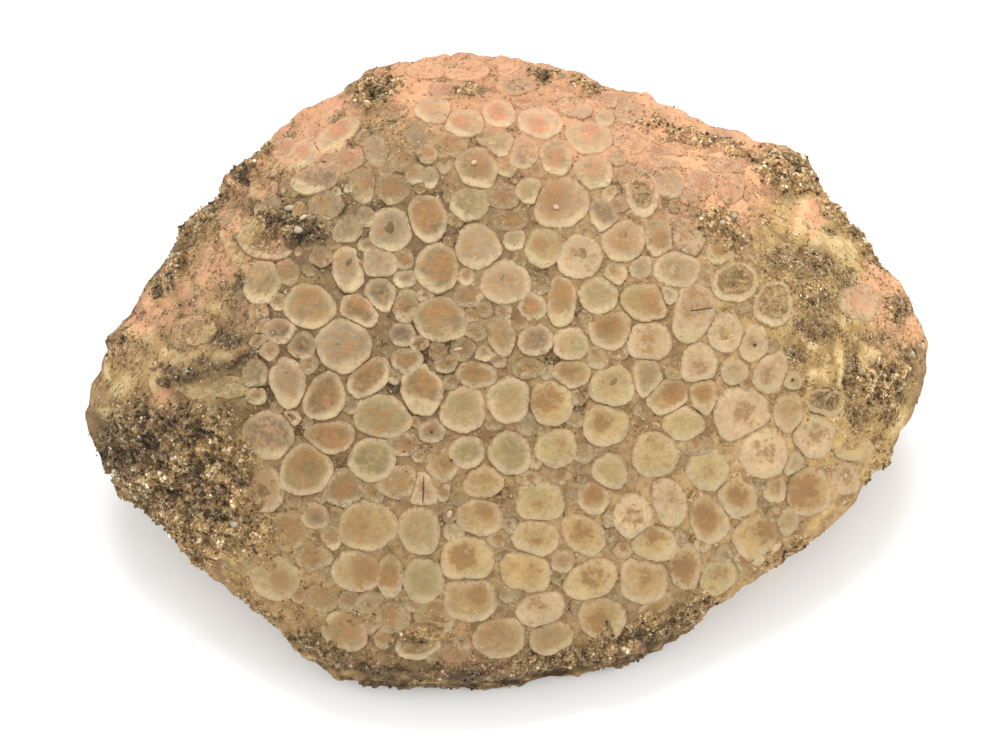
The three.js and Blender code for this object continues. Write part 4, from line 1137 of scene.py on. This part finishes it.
def formedReach(crown, angle):
    # the same for the crown's own uneven form
    reach = ovalReach(crown, angle)
    turned = angle - crown["turn"]
    for lobes in crowns["lobes"]:
        waves = [high * np.cos(count * angle + far * crown["luck"]) for count, far, high in lobes]
        reach = reach * (1 + sum(waves))
    if crown["form"] == "block":
        power = crowns["block"]
        reach = reach * (np.abs(np.cos(turned)) ** power + np.abs(np.sin(turned)) ** power) ** (-1 / power)
    if crown["form"] == "bean":
        depth, width = crowns["bean"]
        away = (turned + math.pi) % (2 * math.pi) - math.pi
        reach = reach * (1 - depth * np.exp(-((away - math.pi / 2) / width) ** 2))
    if crown["form"] == "drop":
        tip, power, narrow = crowns["drop"]
        reach = reach * (1 + tip * np.clip(-np.sin(angle), 0, 1) ** power - narrow * np.abs(np.cos(angle)))
    return reach


def outlineOf(crown, angle, others, lottery):
    # the crown's own form, cut back where it meets its neighbours
    cornering, gap = crowns["cornering"], crowns["gap"]
    closeness = formedReach(crown, angle) ** -cornering
    for other in others:
        dx, dy = other["across"] - crown["across"], other["up"] - crown["up"]
        far = math.hypot(dx, dy)
        towards = math.atan2(dy, dx)
        mine = ovalReach(crown, towards)
        its = ovalReach(other, towards + math.pi)
        if far > mine + its + gap or abs(other["buried"] - crown["buried"]) > crowns["sameDepth"]:
            continue
        limit = (far ** 2 + mine ** 2 - its ** 2) / (2 * far) - gap / 2
        limit = max(limit, crowns["leastReach"] * mine)
        facing = np.maximum(np.cos(angle - towards), crowns["facing"])
        closeness = closeness + (limit / facing) ** -cornering
    return closeness ** (-1 / cornering) + crowns["jitter"] * lottery.randn(len(angle))


def crownRows():
    lottery = np.random.RandomState(crowns["seeds"]["luck"])
    scale = crowns["scale"]
    return [
        {
            "across": across, "up": up, "length": length * scale, "width": width * scale,
            "turn": math.radians(turn), "tone": tone, "buried": buried,
            "form": form[0] if form else "round", "luck": lottery.rand(),
        }
        for region in teeth.values() for across, up, length, width, turn, tone, buried, *form in region
    ]


def tooWorn(across, up):
    worn = crowns["worn"]
    right, back = worn["backRight"]
    beyond = across > worn["right"] or across < worn["left"] or up > worn["back"]
    alongX, alongY = across - plate["top"][0], up - plate["top"][1]
    share = math.hypot(alongX, alongY) / float(edgeReach(math.atan2(alongY, alongX)))
    onCrust = coverAt(across, up, sand["crust"]) > crowns["fillers"]["crust"]
    return beyond or (across > right and up > back) or share > crowns["fillers"]["furthest"] or onCrust


def fillerRows(rows):
    # faint little crowns in the bone between the others, each as large as its gap allows
    settings = crowns["fillers"]
    lottery = np.random.RandomState(settings["seed"])
    made = []
    for _ in range(settings["tries"]):
        across, up, size, stretch = [
            between(settings[name], lottery.rand()) for name in ("across", "up", "size", "stretch")]
        turn = math.pi * lottery.rand()
        tone = settings["tones"][lottery.randint(len(settings["tones"]))]
        depth, luck = lottery.rand(), lottery.rand()
        if len(made) == settings["most"] or tooWorn(across, up):
            continue
        room = math.inf
        for other in rows + made:
            dx, dy = across - other["across"], up - other["up"]
            room = min(room, math.hypot(dx, dy) - float(ovalReach(other, math.atan2(dy, dx))))
        if room < settings["room"]:
            continue
        size = min(size, 2 * room + settings["squeeze"])
        made.append({
            "across": across, "up": up, "length": size, "width": size * stretch, "turn": turn, "tone": tone,
            "buried": between(settings["buried"], depth), "form": "round", "luck": luck,
        })
    return made


def spunCrown(around):
    # the mesh that all crowns are copies of, and which ring and spoke each of its points is on
    template = meshFrom(lambda shape: crownTemplate(shape, around))
    spun = fetched(template.vertices, "co")
    inner, shoulder = crowns["inner"], crowns["shoulder"]
    count = len(inner) + len(shoulder) - 1
    ring = np.round(np.hypot(spun[:, 0], spun[:, 1]) * count).astype(int)
    angle = np.arctan2(spun[:, 1], spun[:, 0])
    return template, SimpleNamespace(
        count=len(spun),
        ring=ring,
        angle=angle,
        foot=spun[:, 2] < -0.5,
        spoke=np.round(angle / (2 * math.pi) * around).astype(int) % around,
        spokeAngles=np.arange(around) * 2 * math.pi / around,
        share=np.array(inner + [1.0] * len(shoulder))[ring],
        inset=np.array([0.0] * len(inner) + [inset for inset, _ in shoulder])[ring],
        rise=np.array([1.0] * len(inner) + [rise for _, rise in shoulder])[ring],
    )


def shapeCrown(crown, spun, others, lottery):
    # a crown's points, and what its paint goes by
    outline = outlineOf(crown, spun.spokeAngles, others, lottery)[spun.spoke]
    size = (crown["length"] + crown["width"]) / 4
    narrow = min(1, size / crowns["smallSize"])
    innerCount = len(crowns["inner"])
    within = spun.share * (outline - crowns["shoulder"][0][0] * narrow)
    reach = np.where(spun.ring < innerCount, within, outline - spun.inset * narrow)
    u, v = reach * np.cos(spun.angle), reach * np.sin(spun.angle)

    luck = crown["luck"]
    base, perLength = crowns["lengthLift"]
    lift = crowns["lift"] * (1 - crowns["buriedLift"] * crown["buried"])
    lift = lift * between(crowns["luckyLift"], luck) * min(1, base + perLength * crown["length"])
    dish = between(crowns["dish"], lottery.rand()) * lift
    dish = dish * smoothStep(*crowns["dishEdge"], spun.share) * (spun.ring <= innerCount)
    height = spun.rise * lift - dish - between(crowns["slope"], luck) * lift * v / size
    if crown["form"] == "ring":
        depth, outer = crowns["ringHollow"]
        height = height - depth * lift * (spun.share < outer) * (spun.ring < innerCount)
    height = np.where(spun.foot, -crowns["foot"], height)
    across, up = crown["across"] + u, crown["up"] + v
    points = facePoint(across, up) + faceNormal(crown["across"], crown["up"]) * height[:, None]
    fromEdge = np.clip(outline - reach, 0, 1)
    return points, SimpleNamespace(u=u, v=v, across=across, up=up, size=size, fromEdge=fromEdge)


def paintCrown(crown, at, lottery):
    # the values of a crown's colour attributes
    strength = crowns["blush"][crown["tone"]]
    colour = np.array(seenAs(*crowns["tones"][crown["tone"]]))
    colour = colour * between(crowns["toneSpread"], lottery.rand())
    colour = colour * paintedLightAndTone(crown["across"], crown["up"])
    # the blush sits a little up the crown, where it also paints shade on the upper inner slope
    stray, raised = crowns["blushStray"]
    offset = lottery.randn(2) * stray * at.size + [0, raised * at.size]
    spread = between(crowns["blushSize"], lottery.rand()) * at.size
    far = ((at.u - offset[0]) ** 2 + (at.v - offset[1]) ** 2) / spread ** 2
    blush = np.exp(-far ** crowns["blushEdge"]) * abs(strength)
    blush = blush * between(crowns["blushStrength"], lottery.rand())
    # painted light: cream on the lower side, and the cream half of a half crown
    turn, most, low, high = crowns["half"]
    lean = turn if crown["form"] == "half" else crowns["creamLean"] * lottery.randn()
    lower = (at.u * math.sin(lean) - at.v * math.cos(lean)) / at.size
    cream = smoothStep(0, 1, lower) * between(crowns["cream"], lottery.rand())
    if crown["form"] == "half":
        cream = most * smoothStep(low, high, lower)
        blush = blush * (1 - cream)
    filled = 0 * at.u + crown["buried"]
    if crown["form"] == "ring":
        leans, start, most, low, high = crowns["ring"]
        inside = at.fromEdge - leans * lower - start
        filled = np.maximum(filled, most * smoothStep(low, high, inside))
        # cream inside a ring, more on its lower side as painted light
        low, high, creamBase, creamLower = crowns["ringCream"]
        cream = np.maximum(cream, smoothStep(low, high, at.fromEdge) * (creamBase + creamLower * lower))
    # the lower side, where the painted light and the painted groove shadow go
    side = smoothStep(*crowns["side"], -at.v / at.size)
    less, low, high = crowns["lessRinged"]
    ringed = between(crowns["ringed"], lottery.rand()) * (1 - less * smoothStep(low, high, crown["up"]))
    olive = sand["olivePaint"] * stainAt(at.across, at.up, sand["olive"])
    yellow = np.maximum(olive, coverAt(at.across, at.up, sand["cream"]))
    return {
        "crownTone": np.tile([*colour, float(strength > 0)], (len(at.u), 1)),
        "crownPaint": np.stack([at.fromEdge, blush, cream, filled], 1),
        "crownSide": np.stack([side, 0 * side + ringed, side, side], 1),
        "cover": np.stack([
            coverAt(at.across, at.up, sand["pockets"]), stainAt(at.across, at.up, sand["pink"]),
            yellow, stainAt(at.across, at.up, sand["dark"]),
        ], 1),
    }


def makeCrowns(name, rows, material):
    template, spun = spunCrown(crowns["around"][name])
    lottery = np.random.RandomState(crowns["seeds"]["shapes"])
    copies, paints = [], []
    for crown in rows:
        others = [other for other in rows if other is not crown and math.hypot(
            other["across"] - crown["across"], other["up"] - crown["up"]) < crowns["neighbours"]]
        points, at = shapeCrown(crown, spun, others, lottery)
        copies.append(points)
        paints.append(paintCrown(crown, at, lottery))
    mesh = joinCopies(template, np.array(copies) * mm)
    for attribute in paints[0]:
        setColour(mesh, attribute, np.concatenate([paint[attribute] for paint in paints]))
    return addPiece(name, mesh, material)


# Grains of sand, cemented in the crust and between the crowns. Sizes are in millimetres. The odds are those
# of each colour, and darker says how much the bone's dark places, its dark stain and painted shade, darken
# the grains.
grains = {
    "crust": {
        "count": 9900, "size": (0.13, 0.33), "seed": 21, "darker": 0.6,
        "odds": [0.18, 0.2, 0.16, 0.22, 0.17, 0.07],
    },
    "pockets": {
        "count": 9000, "size": (0.08, 0.18), "seed": 22, "darker": 0.25,
        "odds": [0.14, 0.16, 0.16, 0.26, 0.2, 0.08],
    },
    "wall": {
        "count": 6000, "size": (0.14, 0.32), "seed": 23, "darker": 0.6,
        "odds": [0.16, 0.26, 0.16, 0.24, 0.14, 0.04],
    },
    "crownDust": {
        "count": 2400, "size": (0.07, 0.14), "seed": 24, "darker": 0,
        "odds": [0.1, 0.2, 0.14, 0.26, 0.24, 0.06],
    },
    "colours": [
        (72, 50, 26), (130, 97, 57), (160, 127, 84), (186, 152, 104), (218, 192, 148), (240, 227, 198),
    ],
    "mostlySmall": 2.2,
    "stretch": (0.7, 1.3),
    "knobs": (0.8, 1.2),
    "jitter": 0.12,
    "stand": (-0.22, 0.18),
    "clumpSize": 0.45,
    # luck and clumps in the colour
    "mixing": (0.35, 0.5),
    "toneSpread": (0.8, 1.2),
    "brightest": 1.1,
    # where crowns keep the sand away, and how the sand depends on the cover
    "hidden": (0.45, 0.95),
    "least": 1e-6,
    "crustPower": 1.5,
    "pocketOdds": (0.04, 1.8, 2.2),
    "notOnCrust": 0.5,
    "wallOdds": 0.15,
    "dustPower": 1.5,
    "dustOdds": 0.02,
    # of the grains' own look
    "cloud": (0.12, 2, 0.55),
    "shade": 0.5,
    "roughness": (0.3, 0.7, 0.35, 0.7),
    "bump": 0.03,
    "specular": 0.5,
}


def grainFinish():
    finish = Finish("sand_grains")
    fine = finish.cloud(*grains["cloud"])
    shade = fine * grains["shade"] + (1 - grains["shade"] / 2)
    return finish.surface({
        "Base Color": finish.shade(finish.attribute("grainTone"), shade),
        "Roughness": finish.step(fine, *grains["roughness"]),
        "Normal": finish.bump(fine, grains["bump"]),
        "Specular IOR Level": grains["specular"],
    })


def scatterGrains(name, mesh, weights, settings, material, darkness):
    area = fetched(mesh.polygons, "area", 1)[:, 0]
    centre, normal = fetched(mesh.polygons, "center"), fetched(mesh.polygons, "normal")
    first = np.array([polygon.vertices[0] for polygon in mesh.polygons])
    lottery = np.random.RandomState(settings["seed"])
    odds = area * weights[first]
    count = settings["count"]
    chosen = lottery.choice(len(odds), count, p=odds / odds.sum())
    centre, normal = centre[chosen], normal[chosen]
    template = meshFrom(lambda shape: bmesh.ops.create_icosphere(shape, subdivisions=1, radius=0.5))
    ball = fetched(template.vertices, "co")
    size = between(settings["size"], lottery.rand(count) ** grains["mostlySmall"])
    turned, _ = np.linalg.qr(lottery.randn(count, 3, 3))
    stretch = between(grains["stretch"], lottery.rand(count, 1, 3))
    knobs = ball[None] * between(grains["knobs"], lottery.rand(count, len(ball), 1)) * stretch
    shapes = np.einsum("nij,nkj->nki", turned, knobs) * size[:, None, None] * mm
    jitter = lottery.randn(count, 3) * grains["jitter"] * mm
    jitter = jitter - normal * np.sum(jitter * normal, 1, keepdims=True)
    stand = normal * (size * between(grains["stand"], lottery.rand(count)))[:, None] * mm
    shapes = shapes + (centre + jitter + stand)[:, None]
    shapes[:, :, 2] = np.maximum(shapes[:, :, 2], 0)

    colours = np.array([seenAs(*colour) for colour in grains["colours"]])
    clumped = roughness(centre / mm, grains["clumpSize"], settings["seed"], 2)
    byLuck, byClump = grains["mixing"]
    order = np.argsort(np.argsort(byLuck * lottery.rand(count) + byClump * clumped)) / count
    tone = colours[np.searchsorted(np.cumsum(settings["odds"]), order).clip(0, len(colours) - 1)]
    tone = tone * between(grains["toneSpread"], lottery.rand(count, 1))
    # grains in the bone's dark places take on its dark stain and painted shade
    tone = tone * (grains["brightest"] - settings["darker"] * darkness[first][chosen])[:, None]
    grainMesh = joinCopies(template, shapes)
    setColour(grainMesh, "grainTone", np.repeat(np.hstack([tone, np.ones((count, 1))]), len(ball), 0))
    addPiece(name, grainMesh, material, smooth=False)


def makeGrains(bone, at, crownPiece, rows, material):
    hidden = np.zeros_like(at.across)
    mostBuried, within = grains["hidden"]
    for crown in rows:
        if crown["buried"] < mostBuried and crown["form"] != "ring":
            place = [crown[key] for key in ("across", "up", "length", "width")]
            distance = ovalDistance(at.across, at.up, [*place, math.degrees(crown["turn"])])
            hidden = np.maximum(hidden, (distance < within).astype(float))
    crust = at.crust * at.onFace
    onCrust = crust ** grains["crustPower"] * at.onFace + grains["least"]
    scatterGrains("crust_grains", bone.data, onCrust, grains["crust"], material, at.dark)
    always, covered, power = grains["pocketOdds"]
    clear = (1 - hidden) * at.onFace * (always + covered * at.cover ** power)
    clear = clear * (crust < grains["notOnCrust"])
    scatterGrains("pocket_grains", bone.data, clear + grains["least"], grains["pockets"], material, at.dark)
    onWall = (1 - at.onFace) * (grains["wallOdds"] + at.cover)
    scatterGrains("wall_grains", bone.data, onWall, grains["wall"], material, at.dark)
    filled = fetched(crownPiece.data.attributes["crownPaint"].data, "color", 4)[:, 3]
    dusty = filled ** grains["dustPower"] + grains["dustOdds"]
    scatterGrains("crown_grains", crownPiece.data, dusty, grains["crownDust"], material, 0 * dusty)


# Single things on the face: [across, up, length, width, turn, tone, how far the middle stands out]. The
# flat ones follow every bump.
marks = {
    "things": [
        [-2.4, 15.2, 0.5, 0.34, 20, "crystal", 0.08], [3.6, 11.9, 0.5, 0.36, -20, "crystal", 0.08],
        [-4.2, -10.4, 0.6, 0.4, 70, "crystal", 0.1], [-3.6, 1.6, 0.85, 0.28, 12, "glassy", 0.06],
        [-14.9, 9.9, 0.8, 0.5, 0, "white", 0.1], [-16, 12, 0.9, 0.45, 10, "white", 0.1],
        [15.6, 10.6, 0.5, 0.4, 0, "white", 0.1], [16.6, 11.3, 0.45, 0.4, 40, "white", 0.1],
        [-19.7, -11.1, 0.6, 0.45, 10, "white", 0.1], [-5.5, -4.45, 0.26, 0.22, 0, "hole", 0],
        [18.1, 1.9, 0.28, 0.24, 0, "hole", 0], [20.9, -0.65, 0.24, 0.2, 0, "hole", 0],
        [-4.05, -6.5, 0.24, 0.2, 0, "hole", 0], [-6.1, -8.7, 2.2, 0.13, 88, "crack", 0],
        [14.2, 4.5, 1.9, 0.12, 8, "crack", 0],
    ],
    "flat": ["hole", "crack"],
    # a hole is a small flat dark spot, painted shade of a pit
    "tones": {
        "crystal": (226, 188, 156), "white": (198, 184, 154), "hole": (72, 54, 36), "crack": (96, 72, 48),
        "glassy": (212, 192, 152),
    },
    "thickness": 0.8,
    "dropFrom": 3,
}


def drapedPoints(trees, across, up, normal):
    # the surface at chart points, whichever of the crowns and the bone stands higher
    points = []
    for point in facePoint(across, up) * mm:
        start = Vector(point) + normal * marks["dropFrom"] * mm
        hits = [tree.ray_cast(start, -normal)[3] for tree in trees]
        points.append(start - normal * min(hit for hit in hits if hit is not None))
    return np.array(points)


def makeMarks(material, pieces):
    template = meshFrom(lambda shape: bmesh.ops.create_icosphere(shape, subdivisions=2, radius=0.5))
    ball = fetched(template.vertices, "co")
    trees = [BVHTree.FromObject(piece, bpy.context.evaluated_depsgraph_get()) for piece in pieces]
    copies, tones = [], []
    for across, up, length, width, turn, tone, lift in marks["things"]:
        tilt = math.radians(turn)
        x, y = ball[:, 0] * length, ball[:, 1] * width
        placeX = across + x * math.cos(tilt) - y * math.sin(tilt)
        placeY = up + x * math.sin(tilt) + y * math.cos(tilt)
        normal = faceNormal(across, up)
        drapeX, drapeY = (placeX, placeY) if tone in marks["flat"] else (across + 0 * x, up + 0 * y)
        points = drapedPoints(trees, drapeX, drapeY, Vector(normal))
        points = points + (facePoint(placeX, placeY) - facePoint(drapeX, drapeY)) * mm
        height = lift + ball[:, 2] * width * marks["thickness"]
        copies.append(points + normal * height[:, None] * mm)
        tones.append(np.tile([*seenAs(*marks["tones"][tone]), 1], (len(ball), 1)))
    mesh = joinCopies(template, np.array(copies))
    setColour(mesh, "grainTone", np.concatenate(tones))
    addPiece("crystals_and_pits", mesh, material)


stage = {
    "floor": {
        "Base Color": (0.87, 0.87, 0.87, 1), "Roughness": 0.8, "Specular IOR Level": 0.1,
        "Emission Color": (1, 1, 1, 1), "Emission Strength": 0.1,
    },
    "floorSize": 4.0,
    "world": {"Color": (1, 1, 1, 1), "Strength": 1.0},
    "lightAim": (0, 0, 0.01),
    "lights": [
        # name, place, size, watts
        ("key", (-0.05, 0.6, 0.78), 0.5, 6.4),
        ("leftSide", (-0.86, -0.08, 0.52), 0.6, 2.2),
        ("rightSide", (0.86, -0.12, 0.52), 0.6, 2.4),
    ],
    # metres, and for the picture millimetres on the tooth chart
    "cameraFar": 1.2,
    "cameraNearest": 0.05,
    "sensor": 36,
    "pictureWidth": 73.53,
    "pictureMiddle": (-0.51, -0.29),
    "pictureHeight": 10,
}


def makeStage():
    material = Finish("floor").surface(stage["floor"])
    mesh = meshFrom(lambda shape: bmesh.ops.create_grid(
        shape, x_segments=2, y_segments=2, size=stage["floorSize"] / 2))
    mesh.materials.append(material)
    floor = placed("floor", mesh)

    world = bpy.data.worlds.new("studio")
    world.use_nodes = True
    for name, value in stage["world"].items():
        world.node_tree.nodes["Background"].inputs[name].default_value = value
    bpy.context.scene.world = world
    bpy.context.scene.view_settings.view_transform = "Standard"

    for name, place, size, watts in stage["lights"]:
        data = bpy.data.lights.new(name, "AREA")
        data.size = size
        data.energy = watts
        light = placed(name, data)
        light.location = place
        fromLight = Vector(stage["lightAim"]) - Vector(place)
        light.rotation_euler = fromLight.to_track_quat("-Z", "Y").to_euler()


def makeCamera():
    across, up = stage["pictureMiddle"]
    height = stage["pictureHeight"]
    aim = Vector((across, depthOf(up, height), height)) * mm
    toCamera = Vector((0, -math.sin(plate["faceLean"]), math.cos(plate["faceLean"])))
    data = bpy.data.cameras.new("camera")
    data.sensor_width = stage["sensor"]
    data.lens = data.sensor_width * stage["cameraFar"] / (stage["pictureWidth"] * mm)
    data.clip_start = stage["cameraNearest"]
    camera = placed("camera", data)
    camera.location = aim + toCamera * stage["cameraFar"]
    camera.rotation_euler = (-toCamera).to_track_quat("-Z", "Y").to_euler()
    bpy.context.scene.camera = camera


makeCamera()
makeStage()
print("camera, floor and lights made")
bone, boneFacts = makeBone()
print("bone made:", len(bone.data.polygons), "faces")
clearTeeth = crownRows()
crownMaterial = crownFinish()
crownPiece = makeCrowns("tooth_crowns", clearTeeth, crownMaterial)
faintTeeth = fillerRows(clearTeeth)
makeCrowns("faint_crowns", faintTeeth, crownMaterial)
print("crowns made:", len(clearTeeth), "clear and", len(faintTeeth), "faint")
sandMaterial = grainFinish()
makeMarks(sandMaterial, [bone, crownPiece])
makeGrains(bone, boneFacts, crownPiece, clearTeeth, sandMaterial)
print("grains and marks made")
